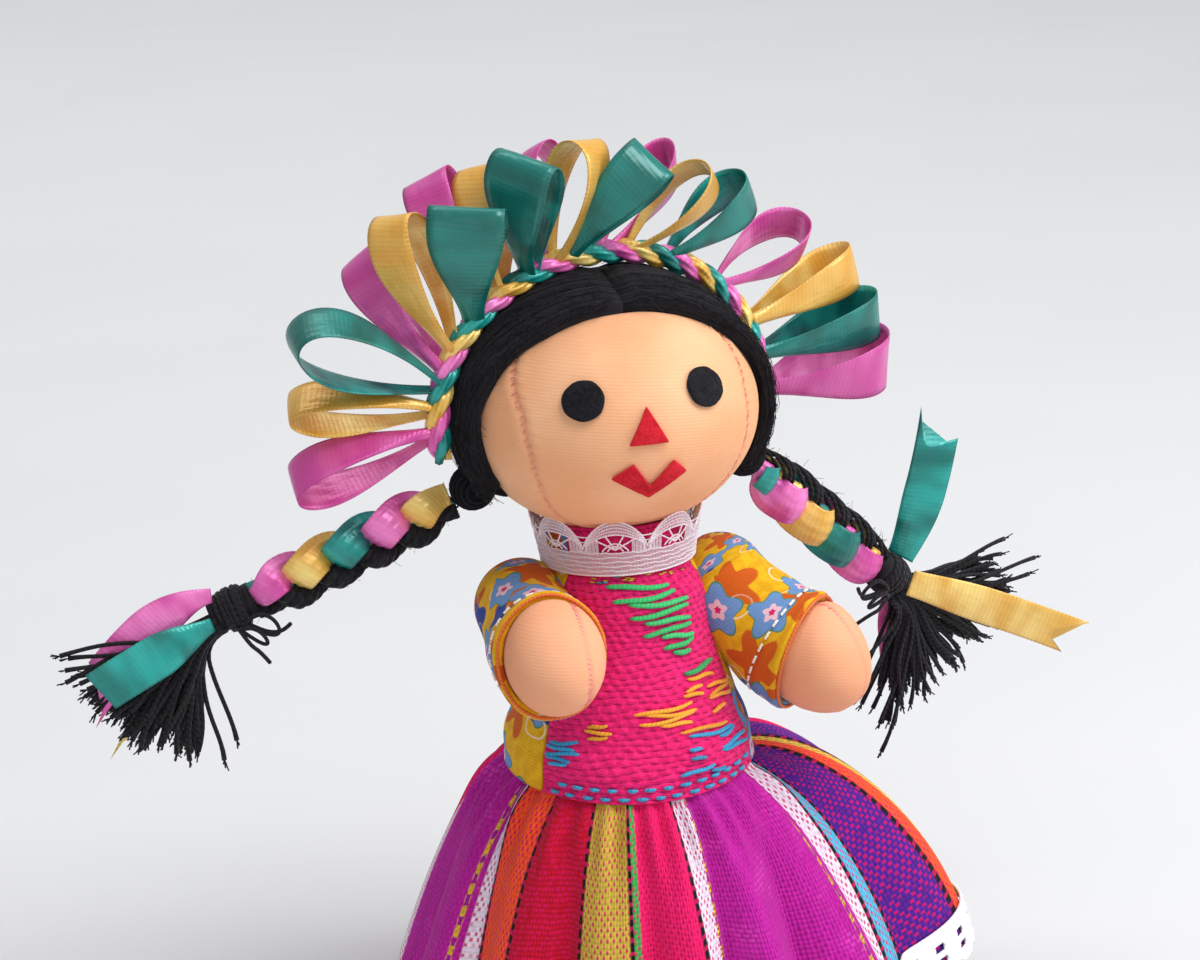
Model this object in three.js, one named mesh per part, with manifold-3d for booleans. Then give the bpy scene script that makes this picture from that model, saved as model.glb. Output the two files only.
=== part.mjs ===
// Rag doll with a ribbon crown: a stuffed cloth figure in a blouse and a gathered skirt, with yarn hair
// drawn into two plaits. Millimetres, +Z up, the doll faces -Y and its left side is +X. The origin is on the
// floor under the middle of the doll. Every stuffed piece is its sewn skin and its filling in one solid.
import * as THREE from "three";
import { mergeVertices } from "three/addons/utils/BufferGeometryUtils.js";
import Module from "manifold-3d";

const wasm = await Module();
wasm.setup();

// Clearances
const seamGap = 0.3; // between two pieces that are sewn, glued or laid together
const jointGap = 0.5; // round the ball end of a limb in its socket
const cutDetail = 0.06; // finest edge kept where one piece makes room for another

// Heights of the standing doll
const hipHeight = 38; // floor to the hip seam
const hipToWaist = 8;
const waistToShoulder = 21;
const shoulderToNeck = 11;

// Torso
const waistRadius = 15.2;
const chestRadius = 11.2;
const neckRadius = 6;
const hipDepth = 11; // how far the rounded seat hangs below the waist

// Head
const headRadius = 20.8; // half of the width and of the depth
const headHalfHeight = 16.8;
const neckSeat = 0.8; // how deep the head sits on the neck
const faceHalfWidth = 74; // degrees from the nose to the hair
const faceTop = 66; // degrees of latitude at the parting
const faceMiddle = -8; // degrees of latitude where the face is widest

// Felt features
const feltThickness = 0.8;
const eyeRadius = 3;
const eyeAzimuth = 25.5; // degrees from the nose
const eyeLatitude = 20;
const noseLatitude = 6.5;
const noseWidth = 5.8;
const noseHeight = 6.2;
const mouthLatitude = -18;
const mouthWidth = 10.4;
const mouthDrop = 4.6; // from the corners to the point of the lip
const mouthBand = 2.9; // height of the lip along its arms

// Hair
const hairThickness = 2;
const hairLowEdge = -36; // degrees of latitude at the nape
const hairLift = 0.5; // between the head and the laid yarn
const hairKnot = 3.2; // radius of the gathered yarn at the root of a plait
const gatherAzimuth = 97;
const gatherLatitude = -30;

// Ribbon
const ribbonWidth = 5.6;
const ribbonThickness = 0.5;
const ribbonColours = ["pink", "yellow", "teal"];

// Crown: three ribbons twisted into a band over the head, with a row of loops drawn out of it
const bandStrandRadius = 0.8;
const bandTwistRadius = 1.1;
const bandTwistPitch = 12.6;
const bandSetBack = 2.5; // the band lies this far behind the middle of the head
const bandEnd = -11; // degrees below the sides of the head where the band stops
const crownTurn = 12; // degrees, the whole crown sits turned to the doll's left
const loopStandOff = 0.2; // further off the band, for the strip's own width
const loopPinch = 0.3; // width of the gathered ribbon at the band, as a share
// Each loop was pulled and twisted by hand; one entry for each, from the doll's right over the top to its left.
const loopSeat = [180.4, 172, 163.5, 158, 150.4, 137.9, 133.1, 124.9, 113.3, 110.7, 97.6, 101.3, 86.9, 78.1, 63.4, 41.6, 21.7, 8.5, -4.8]; // degrees round the band
const loopFan = [198.3, 174.5, 153.9, 113, 112, 99.3, 97.1, 86.7, 99.2, 68.3, 51.9, 60, 30.5, 38.6, 29.7, 17.3, 15, 7.5, -3.6]; // degrees of the way it points
const loopLean = [21.6, 20.4, 1.2, 29.3, -0.8, -18.4, 31.1, 17.6, -20.8, 26.7, 37.3, -28.1, 28.7, -9.1, 3.8, 13, 8.6, 2, 2.4]; // degrees backwards
const loopTwist = [-26.7, -28.4, 2.2, 39.2, 31.2, 54.2, 45.8, 28.9, 25.1, -2.9, 95.1, 38.1, 115.6, 129.2, 107.7, 125.4, 91.3, 102, 112]; // degrees about its own length
const loopWidth = [6.6, 6.2, 6.8, 6.8, 6.6, 10.6, 7.2, 6.8, 9.8, 5.6, 6.4, 8.8, 5.6, 5.6, 6.4, 5.8, 5.8, 6.2, 7.2]; // where it is spread flat
const loopReach = [21.2, 20.4, 23.2, 20.3, 21.7, 18.2, 20.8, 18, 18.8, 18.9, 19, 18.9, 22.9, 16.3, 16.4, 18.2, 19.5, 19, 20.5]; // from the band to its tip
const loopHalfSpread = [4.2, 3.4, 5.6, 4.8, 4.8, 3.4, 4.4, 4.8, 3.8, 3.6, 4.4, 4.2, 3.8, 4, 4.2, 4.6, 3.6, 4, 5.4]; // half width of the open loop

// Plaits
const plaitLength = 31.2;
const plaitHalfWidth = 2.5;
const plaitHalfDepth = 2;
const plaitStrandRadius = 1.1;
const plaitPitch = 17;
const plaitTaper = 0.62; // share of the section at both ends
const plaitSetBack = { left: 19, right: 9 }; // degrees backwards
const plaitDroop = { left: 44, right: 23.5 }; // degrees below level
const tieLength = 4;
const tieRadius = 3;
const tasselLength = 21;
const tasselHalfHeight = 10.5;
const tasselHalfDepth = 3;
const tasselBend = 0.5; // share of its length by which the tassel hangs below the line of the plait
// Ribbon ends beyond the tie: outwards, backwards and up from the middle of the tie's end, and the turn of the
// ribbon about its own length in degrees, 0 with its face to the front.
const ribbonTails = {
  left: {
    teal: { path: [[0.4, -1.2, 4.1], [4.6, -2.4, 12], [7.6, -1.6, 26]], turn: 10 },
    yellow: { path: [[1.4, -2.6, 0.2], [13, -3.6, -4.4], [28, -3.4, -12]], turn: 6 },
    pink: { path: [[1, 3.6, -1.5], [3, 8, -9], [4, 10, -18]], turn: 0 },
  },
  right: {
    pink: { path: [[1, -1.2, 3.4], [9.5, -1.2, 3.2], [19, 0.2, -9]], turn: 12 },
    teal: { path: [[1.4, -2.6, -0.4], [9, -4.6, -2.8], [18.5, -4.8, -7.5]], turn: 0 },
    yellow: { path: [[1, 3.2, -1.5], [6, 6.4, -10], [12.5, 7, -22]], turn: 0 },
  },
};

// Arms and sleeves. An arm is a bent tube along one curve, raised and turned out at the shoulder.
const shoulderHalfSpan = 14.6;
const shoulderSetForward = 1;
const shoulderBall = 6.8;
const sleeveCloth = 0.9;
const cuffHalfWidth = 7.8;
const cuffHalfHeight = 8.8;
const cuffPlace = 0.62; // share of the arm's curve
const handHalfWidth = 6.8;
const handHalfHeight = 8;
const armCurve = [[0, 0], [7, -6.3], [14, -11], [23, -7.5]]; // forwards and up from the shoulder
const armTurnOut = { left: 44, right: 1 }; // degrees
const armRaise = { left: -4, right: 21 }; // degrees
const armSwing = { left: [-8, 30], right: [-21, 26] }; // degrees down and up from there, with room in the body

// Legs and slippers
const hipHalfSpan = 7.6;
const hipBall = 6.3;
const thighRadius = 5.5;
const kneeRadius = 5.2;
const ankleRadius = 4.4;
const slipperSole = 2.4; // thickness under the foot
const slipperHalfWidth = 5.7;
const slipperToe = 11.5;
const slipperHeel = 6.6;
const slipperHeight = 8;

// Blouse
const blouseCloth = 0.7;
const blouseLift = 0.5; // between the body and the blouse
const frontPanelHalf = 59; // degrees of the woven front panel each side of the middle
const blouseHemDip = 4; // how far the waist seam drops at the front
const necklineBelowNeck = 3.5;
const blouseEase = 6; // height over which the blouse comes back to the body above the skirt

// Collar of gathered lace
const collarThickness = 0.5;
const collarHeight = 9.6;
const collarFlare = 1.2;
const collarScallops = 14;
const collarScallopDepth = 0.6;

// Skirt
const skirtCloth = 1;
const skirtTuck = 1.6; // hidden under the blouse
const blouseOverlap = 0.8; // how far the blouse hangs below the waist seam
const hemRadius = 37;
const skirtBell = 0.6; // power of the fall by which the skirt widens; less than 1 springs out at the waist
const skirtFolds = 13;
const foldDepth = 2.4;
const puffAzimuth = 96; // the doll's left side, where the skirt is spread and lifted
const puffHalfAngle = 62;
const puffSpread = 11;
const puffLift = 9;
const hemLaceHeight = 8;
const hemLaceThickness = 0.5;
const hemLaceClearance = 0.4; // the lace stays this far off the floor

// Derived places
const waistHeight = hipHeight + hipToWaist;
const shoulderHeight = waistHeight + waistToShoulder;
const neckHeight = shoulderHeight + shoulderToNeck;
const headHeight = neckHeight + headHalfHeight - neckSeat;
const sides = [
  { name: "left", sign: 1 },
  { name: "right", sign: -1 },
];

// Colours and finishes
const colours = {
  skin: 0xf2b585,
  black: 0x17151a,
  felt: 0x141316,
  red: 0xd3202f,
  pink: 0xd64aa8,
  yellow: 0xe3b13c,
  teal: 0x10807a,
  brocade: 0xe0107f,
  print: 0xe9b41d,
  lace: 0xf2ecf2,
  skirt: 0xb01c9c,
  slipper: 0x2a2428,
};
const cloth = (colour) => new THREE.MeshStandardMaterial({ color: colour, roughness: 0.9, metalness: 0 });
const satin = (colour) => new THREE.MeshStandardMaterial({ color: colour, roughness: 0.35, metalness: 0 });

const radians = THREE.MathUtils.degToRad;
const blend = THREE.MathUtils.lerp;
const eased = (value) => THREE.MathUtils.smoothstep(value, 0, 1);
const vector = (x, y, z) => new THREE.Vector3(x, y, z);
const range = (count) => Array.from({ length: count }, (_, index) => index);

// A closed body from vertices and triangles, turned so that its faces point out.
function closedBody(points, faces) {
  let volume = 0;
  for (let i = 0; i < faces.length; i += 3) {
    const [a, b, c] = [points[faces[i]], points[faces[i + 1]], points[faces[i + 2]]];
    volume += a.dot(b.clone().cross(c));
  }
  const turned = volume < 0 ? faces.toReversed() : faces;
  const geometry = new THREE.BufferGeometry().setFromPoints(points);
  geometry.setIndex(turned);
  geometry.computeVertexNormals();
  return geometry;
}

// Side faces between neighbouring rings of points.
function ringFaces(ringCount, pointCount, cyclic) {
  const faces = [];
  for (const i of range(cyclic ? ringCount : ringCount - 1)) {
    const next = (i + 1) % ringCount;
    for (const j of range(pointCount)) {
      const k = (j + 1) % pointCount;
      const [a, b, c, d] = [i * pointCount + j, i * pointCount + k, next * pointCount + k, next * pointCount + j];
      faces.push(a, b, c, a, c, d);
    }
  }
  return faces;
}

// A body through closed rings, with a fan over each end.
function loft(rings) {
  const count = rings[0].length;
  const points = rings.flat();
  const faces = ringFaces(rings.length, count, false);
  const middle = (ring) => ring.reduce((sum, p) => sum.add(p), vector(0, 0, 0)).divideScalar(count);
  const first = points.push(middle(rings[0])) - 1;
  const last = points.push(middle(rings.at(-1))) - 1;
  const lastRing = (rings.length - 1) * count;
  for (const j of range(count)) {
    const k = (j + 1) % count;
    faces.push(first, k, j, last, lastRing + j, lastRing + k);
  }
  return closedBody(points, faces);
}

// A ring-shaped shell: its rings run down the outside and back up the inside.
function shell(outerRings, innerRings) {
  const rings = [...outerRings, ...innerRings.toReversed()];
  return closedBody(rings.flat(), ringFaces(rings.length, rings[0].length, true));
}

// A piece of cloth with thickness: two grids of points, the outer face and the inner one.
function slab(outerRows, innerRows) {
  const columns = outerRows[0].length;
  const rings = outerRows.map((row, i) => [...row, ...innerRows[i].toReversed()]);
  const count = 2 * columns;
  const faces = ringFaces(rings.length, count, false);
  const lastRing = (rings.length - 1) * count;
  for (const j of range(columns - 1)) {
    const [a, b, c, d] = [j, j + 1, count - 2 - j, count - 1 - j];
    faces.push(b, a, d, b, d, c);
    faces.push(lastRing + a, lastRing + b, lastRing + c, lastRing + a, lastRing + c, lastRing + d);
  }
  return closedBody(rings.flat(), faces);
}

// A ring of points round a centre, in the plane of two directions.
function ellipseRing(centre, across, up, halfWidth, halfHeight, count) {
  return range(count).map((j) => {
    const angle = (2 * Math.PI * j) / count;
    return centre
      .clone()
      .addScaledVector(across, halfWidth * Math.cos(angle))
      .addScaledVector(up, halfHeight * Math.sin(angle));
  });
}

// A round strand along points, with its own radius at each of them.
function strand(points, radii, count) {
  const path = new THREE.CatmullRomCurve3(points);
  const rings = points.map((point, i) => {
    const tangent = path.getTangent(i / (points.length - 1));
    const across = tangent.clone().cross(vector(0, 1, 0)).normalize();
    const up = across.clone().cross(tangent).normalize();
    return ellipseRing(point, across, up, radii[i], radii[i], count);
  });
  return loft(rings);
}

// A ribbon along points: flat, with a width and a direction of its width at each of them.
function ribbon(points, widths, directions) {
  const path = new THREE.CatmullRomCurve3(points);
  const rings = points.map((point, i) => {
    const tangent = path.getTangent(i / (points.length - 1));
    const normal = tangent.clone().cross(directions[i]).normalize().multiplyScalar(ribbonThickness / 2);
    const across = directions[i].clone().multiplyScalar(widths[i] / 2);
    return [
      point.clone().add(across).add(normal),
      point.clone().add(across).sub(normal),
      point.clone().sub(across).sub(normal),
      point.clone().sub(across).add(normal),
    ];
  });
  return loft(rings);
}

// Solids for cutting, from geometries.
function solidOf(geometry) {
  const bare = geometry.clone();
  bare.deleteAttribute("normal");
  bare.deleteAttribute("uv");
  const merged = mergeVertices(bare.index ? bare : bare.clone(), 1e-4);
  return new wasm.Manifold(
    new wasm.Mesh({
      numProp: 3,
      vertProperties: new Float32Array(merged.attributes.position.array),
      triVerts: new Uint32Array(merged.index.array),
    }),
  );
}

function geometryOf(solid) {
  const mesh = solid.getMesh();
  const geometry = new THREE.BufferGeometry();
  geometry.setAttribute("position", new THREE.BufferAttribute(mesh.vertProperties, 3));
  geometry.setIndex(new THREE.BufferAttribute(mesh.triVerts, 1));
  geometry.computeVertexNormals();
  return geometry;
}

// Takes the tools away from a geometry, and smooths out edges finer than the cloth could show.
function cut(geometry, ...tools) {
  const left = tools.reduce((rest, tool) => rest.subtract(solidOf(tool)), solidOf(geometry));
  return geometryOf(left.asOriginal().simplify(cutDetail));
}

function ball(radius, x, y, z) {
  return new THREE.SphereGeometry(radius, 18, 12).translate(x, y, z);
}

function addPiece(group, name, geometry, material) {
  const mesh = new THREE.Mesh(geometry, material);
  mesh.name = name;
  group.add(mesh);
}

function groupAt(parent, x, y, z) {
  const group = new THREE.Group();
  group.position.set(x, y, z);
  parent.add(group);
  return group;
}

// Radius of the stuffed torso at a height: rounded seat, full waist, narrower chest, neck.
function torsoRadius(height) {
  if (height < waistHeight) {
    const below = Math.min(1, (waistHeight - height) / hipDepth);
    return waistRadius * Math.sqrt(1 - below * below);
  }
  if (height < shoulderHeight) {
    return blend(waistRadius, chestRadius, eased((height - waistHeight) / waistToShoulder));
  }
  return blend(chestRadius, neckRadius, eased((height - shoulderHeight) / shoulderToNeck));
}

// Azimuth is measured from the front of the doll towards its left.
function onCircle(radius, azimuth, height) {
  return vector(radius * Math.sin(azimuth), -radius * Math.cos(azimuth), height);
}

// A point on the head, or over it, from degrees of azimuth and latitude.
function onHead(azimuth, latitude, over) {
  const [a, l] = [radians(azimuth), radians(latitude)];
  const surface = onCircle(headRadius * Math.cos(l), a, headHalfHeight * Math.sin(l));
  const normal = onCircle(Math.cos(l) / headRadius, a, Math.sin(l) / headHalfHeight).normalize();
  return surface.addScaledVector(normal, over);
}

function headShape(over) {
  const shape = new THREE.SphereGeometry(1, 28, 16).rotateX(Math.PI / 2);
  return shape.scale(headRadius + over, headRadius + over, headHalfHeight + over);
}

// The waist seam drops at the front.
const seamHeight = (azimuth) => waistHeight - (blouseHemDip * (1 + Math.cos(azimuth))) / 2;

const shoulderPlace = (sign) => [sign * shoulderHalfSpan, -shoulderSetForward, shoulderHeight];
const hipPlace = (sign) => [sign * hipHalfSpan, 0, hipHeight];

function makeTorso(doll) {
  const rows = 14;
  const bottom = waistHeight - hipDepth;
  const profile = range(rows + 1).map((i) => {
    const height = blend(bottom, neckHeight, i / rows);
    return new THREE.Vector2(i === 0 ? 0 : torsoRadius(height), height);
  });
  profile.push(new THREE.Vector2(0, neckHeight));
  const whole = new THREE.LatheGeometry(profile, 24).rotateX(Math.PI / 2);
  const hipSockets = sides.map(({ sign }) => ball(hipBall + jointGap, ...hipPlace(sign)));
  const head = headShape(seamGap).translate(0, 0, headHeight);
  addPiece(doll, "torso", cut(whole, head, ...armRooms(), ...hipSockets), cloth(colours.skin));
}

// One panel of the blouse between two azimuths, over the torso and over the tucked top of the skirt.
function blousePanel(fromAzimuth, toAzimuth) {
  const rows = 7;
  const columns = Math.round((toAzimuth - fromAzimuth) / 10);
  const top = neckHeight - necklineBelowNeck;
  const grid = (over) =>
    range(columns + 1).map((j) => {
      const azimuth = radians(blend(fromAzimuth, toAzimuth, j / columns));
      const low = seamHeight(azimuth) - blouseOverlap;
      return range(rows + 1).map((i) => {
        const height = blend(low, top, i / rows);
        const aboveTuck = height - low - blouseOverlap - skirtTuck - 2 * seamGap;
        const overSkirt = 1 - eased(aboveTuck / blouseEase);
        const inner = torsoRadius(Math.max(height, waistHeight)) + blouseLift;
        return onCircle(inner + overSkirt * (skirtCloth + seamGap) + over, azimuth, height);
      });
    });
  return cut(slab(grid(blouseCloth), grid(0)), ...armRooms());
}

function makeBlouse(doll) {
  const gapAngle = THREE.MathUtils.radToDeg(seamGap / chestRadius);
  addPiece(doll, "blouse_front", blousePanel(-frontPanelHalf, frontPanelHalf), cloth(colours.brocade));
  const back = blousePanel(frontPanelHalf + gapAngle, 360 - frontPanelHalf - gapAngle);
  addPiece(doll, "blouse_back", back, cloth(colours.print));
}

// Gathered lace round the neck, seated on the blouse and standing up to the chin with a scalloped edge.
function makeCollar(doll) {
  const columns = collarScallops * 3;
  const rows = 2;
  const low = shoulderHeight + 0.27 * shoulderToNeck;
  const seat = torsoRadius(low) + blouseLift + blouseCloth + seamGap;
  const rings = (over) =>
    range(rows + 1).map((i) =>
      range(columns).map((j) => {
        const azimuth = (2 * Math.PI * j) / columns;
        const scallop = collarScallopDepth * Math.abs(Math.sin((azimuth * collarScallops) / 2));
        const height = low + (i / rows) * (collarHeight - collarScallopDepth + scallop);
        return onCircle(seat + collarFlare * (i / rows) + over, azimuth, height);
      }),
    );
  const whole = shell(rings(collarThickness), rings(0));
  const head = headShape(seamGap).translate(0, 0, headHeight);
  addPiece(doll, "lace_collar", cut(whole, head, ...armRooms()), cloth(colours.lace));
}

// How much an azimuth belongs to the side of the skirt that is spread and lifted, 0 to 1.
function puffAt(azimuth) {
  const away = Math.atan2(Math.sin(azimuth - radians(puffAzimuth)), Math.cos(azimuth - radians(puffAzimuth)));
  return Math.pow(Math.cos(Math.min(1, Math.abs(away) / radians(puffHalfAngle)) * (Math.PI / 2)), 2);
}

// A point of the skirt's outer face. Fall runs from 0 at the waist seam to 1 at the hem.
function onSkirt(azimuth, fall, over) {
  const puff = puffAt(azimuth);
  const flare = blend(Math.pow(fall, skirtBell), Math.sin((fall * Math.PI) / 2), puff);
  const drop = blend(fall, fall * fall * (2 - fall), puff);
  const waist = torsoRadius(waistHeight) + seamGap + skirtCloth;
  const fold = foldDepth * Math.pow(fall, 0.8) * Math.cos(skirtFolds * azimuth + 1.2 * Math.sin(2 * azimuth));
  const radius = blend(waist, hemRadius + puffSpread * puff, flare) + fold;
  const low = seamHeight(azimuth) - blouseOverlap - seamGap;
  return onCircle(radius + over, azimuth, blend(low, puffLift * puff, drop));
}

function makeSkirt(doll) {
  const columns = skirtFolds * 5;
  const rows = 7;
  const azimuths = range(columns).map((j) => (2 * Math.PI * j) / columns);
  const rings = (over) => {
    const radius = torsoRadius(waistHeight) + seamGap + skirtCloth + over;
    const tucked = azimuths.map((azimuth) => onCircle(radius, azimuth, seamHeight(azimuth) + skirtTuck));
    return [tucked, ...range(rows + 1).map((i) => azimuths.map((azimuth) => onSkirt(azimuth, Math.pow(i / rows, 1.5), over)))];
  };
  addPiece(doll, "skirt", shell(rings(0), rings(-skirtCloth)), cloth(colours.skirt));

  // The lace is sewn on along the hem, outside the cloth.
  const laceRows = 1;
  const lace = (over) =>
    range(laceRows + 1).map((i) =>
      azimuths.map((azimuth) => {
        const height = seamHeight(azimuth);
        const fallAt = (above) => 1 - above / height;
        return onSkirt(azimuth, blend(fallAt(hemLaceHeight), fallAt(hemLaceClearance), i / laceRows), over);
      }),
    );
  const inner = seamGap;
  addPiece(doll, "hem_lace", shell(lace(inner + hemLaceThickness), lace(inner)), cloth(colours.lace));
}

// Felt cut to an outline in millimetres and glued to the face at a place in degrees.
function felt(outline, azimuth, latitude) {
  const flat = new THREE.ExtrudeGeometry(new THREE.Shape(outline), { depth: feltThickness, bevelEnabled: false });
  const place = flat.attributes.position;
  for (const i of range(place.count)) {
    const turn = THREE.MathUtils.radToDeg(place.getX(i) / (headRadius * Math.cos(radians(latitude))));
    const rise = THREE.MathUtils.radToDeg(place.getY(i) / headRadius);
    const point = onHead(azimuth + turn, latitude + rise, seamGap + place.getZ(i));
    place.setXYZ(i, point.x, point.y, point.z);
  }
  return geometryOf(solidOf(flat));
}

// An outline with extra points along its edges, so that it can follow a curved face.
function divided(corners, pieces) {
  return corners.flatMap(([x, y], i) => {
    const [nextX, nextY] = corners[(i + 1) % corners.length];
    return range(pieces).map((k) => new THREE.Vector2(blend(x, nextX, k / pieces), blend(y, nextY, k / pieces)));
  });
}

function makeFace(head) {
  addPiece(head, "head", headShape(0), cloth(colours.skin));
  const round = new THREE.EllipseCurve(0, 0, eyeRadius, eyeRadius).getPoints(20).slice(0, -1);
  for (const { name, sign } of sides) {
    addPiece(head, `eye_${name}`, felt(round, sign * eyeAzimuth, eyeLatitude), cloth(colours.felt));
  }
  const nose = [[-noseWidth / 2, -noseHeight / 2], [noseWidth / 2, -noseHeight / 2], [0, noseHeight / 2]];
  addPiece(head, "nose", felt(divided(nose, 3), 0, noseLatitude), cloth(colours.red));
  const corner = mouthWidth / 2;
  const peak = corner * 0.42;
  const mouth = [
    [-corner, 0],
    [0, -mouthDrop],
    [corner, 0],
    [peak, mouthBand * 0.8],
    [0, mouthBand - mouthDrop],
    [-peak, mouthBand * 0.8],
  ];
  addPiece(head, "mouth", felt(divided(mouth, 3), 0, mouthLatitude), cloth(colours.red));
}

// Degrees of azimuth where the hair starts at a latitude: the edge of the face, then the parting.
function hairEdge(latitude) {
  const share = Math.abs(latitude - faceMiddle) / (faceTop - faceMiddle);
  return share < 1 ? faceHalfWidth * Math.pow(1 - Math.pow(share, 2.4), 1 / 2.4) : 0;
}

// The middle of the gathered yarn from which a plait hangs and about which it swings.
function knotPlace(sign) {
  const place = onHead(gatherAzimuth, gatherLatitude, hairLift + hairThickness);
  return vector(sign * place.x, place.y, place.z);
}

function makeHair(head) {
  const [rows, columns] = [10, 11];
  const nearPole = 88;
  for (const { name, sign } of sides) {
    const grid = (over) =>
      range(rows + 1).map((i) => {
        const latitude = blend(hairLowEdge, nearPole, Math.pow(i / rows, 0.9));
        return range(columns + 1).map((j) => {
          const point = onHead(blend(hairEdge(latitude), 180, j / columns), latitude, over);
          return vector(sign * (point.x + seamGap / 2), point.y, point.z);
        });
      });
    const laid = solidOf(slab(grid(hairLift + hairThickness), grid(hairLift)));
    const knot = solidOf(ball(hairKnot, ...knotPlace(sign).toArray()));
    addPiece(head, `hair_${name}`, cut(geometryOf(laid.add(knot)), headShape(seamGap)), cloth(colours.black));
  }
}

// Half axes of the crown band's middle line, which rests on the hair.
const bandOuter = bandTwistRadius + bandStrandRadius;
const bandOverHead = hairLift + hairThickness + seamGap + bandOuter;
const bandHalfWidth = headRadius + bandOverHead;
const bandHalfHeight = headHalfHeight + bandOverHead;

// A direction or place of the crown, turned with it.
function ofCrown(x, y, z) {
  return vector(x, y, z).applyAxisAngle(vector(0, 0, 1), radians(crownTurn));
}

function onBand(angle) {
  return ofCrown(bandHalfWidth * Math.cos(angle), bandSetBack, bandHalfHeight * Math.sin(angle));
}

function bandOutwards(angle) {
  return ofCrown(Math.cos(angle) / bandHalfWidth, 0, Math.sin(angle) / bandHalfHeight).normalize();
}

function makeCrownBand(head) {
  const [from, to] = [radians(bandEnd), Math.PI - radians(bandEnd)];
  const length = ((to - from) * (bandHalfWidth + bandHalfHeight)) / 2;
  const turns = length / bandTwistPitch;
  const steps = Math.round(turns * 6);
  ribbonColours.forEach((colour, k) => {
    const points = range(steps + 1).map((i) => {
      const angle = blend(from, to, i / steps);
      const twist = 2 * Math.PI * ((turns * i) / steps + k / ribbonColours.length);
      return onBand(angle)
        .addScaledVector(bandOutwards(angle), bandTwistRadius * Math.cos(twist))
        .add(ofCrown(0, bandTwistRadius * Math.sin(twist), 0));
    });
    addPiece(head, `crown_band_${colour}`, strand(points, points.map(() => bandStrandRadius), 5), satin(colours[colour]));
  });
}

// One drawn-out loop: a strip that leaves the band, opens into a drop and comes back.
function crownLoop(i) {
  const steps = 14;
  const [seat, fan, lean] = [loopSeat[i], loopFan[i], loopLean[i]].map(radians);
  const backwards = ofCrown(0, 1, 0);
  const outwards = ofCrown(Math.cos(fan), 0, Math.sin(fan));
  const along = outwards.clone().multiplyScalar(Math.cos(lean)).addScaledVector(backwards, Math.sin(lean));
  const across = along.clone().cross(outwards.clone().cross(backwards)).normalize();
  const width = across.applyAxisAngle(along, radians(loopTwist[i]));
  const spread = width.clone().cross(along).normalize();
  // It starts square off the band, clear of its strands.
  const bandWay = bandOutwards(seat).cross(backwards);
  const off = along.clone().addScaledVector(bandWay, -along.dot(bandWay)).normalize();
  const clear = bandOuter + seamGap + loopStandOff;
  const base = onBand(seat).addScaledVector(off, clear);
  const length = loopReach[i] - clear * off.dot(along);
  const open = 0.1; // share of a half turn left open at the band
  const points = [];
  const widths = [];
  for (const step of range(steps + 1)) {
    const turn = Math.PI * blend(open, 2 - open, step / steps);
    const reach = (Math.cos(Math.PI * open) - Math.cos(turn)) / 2;
    const sideways = loopHalfSpread[i] * Math.sin(turn) * Math.pow(Math.sin(turn / 2), 1.2);
    const apart = Math.sign(Math.PI - turn) * (ribbonThickness + seamGap) * 0.6 * (1 - reach);
    points.push(base.clone().addScaledVector(along, length * reach).addScaledVector(spread, sideways + apart));
    widths.push(loopWidth[i] * blend(loopPinch, 1, eased(reach / 0.85)));
  }
  return ribbon(points, widths, points.map(() => width));
}

function makeCrownLoops(head) {
  for (const i of range(loopSeat.length)) {
    const colour = ribbonColours[i % ribbonColours.length];
    const number = String(i + 1).padStart(2, "0");
    addPiece(head, `crown_loop_${number}_${colour}`, crownLoop(i), satin(colours[colour]));
  }
}

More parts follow.
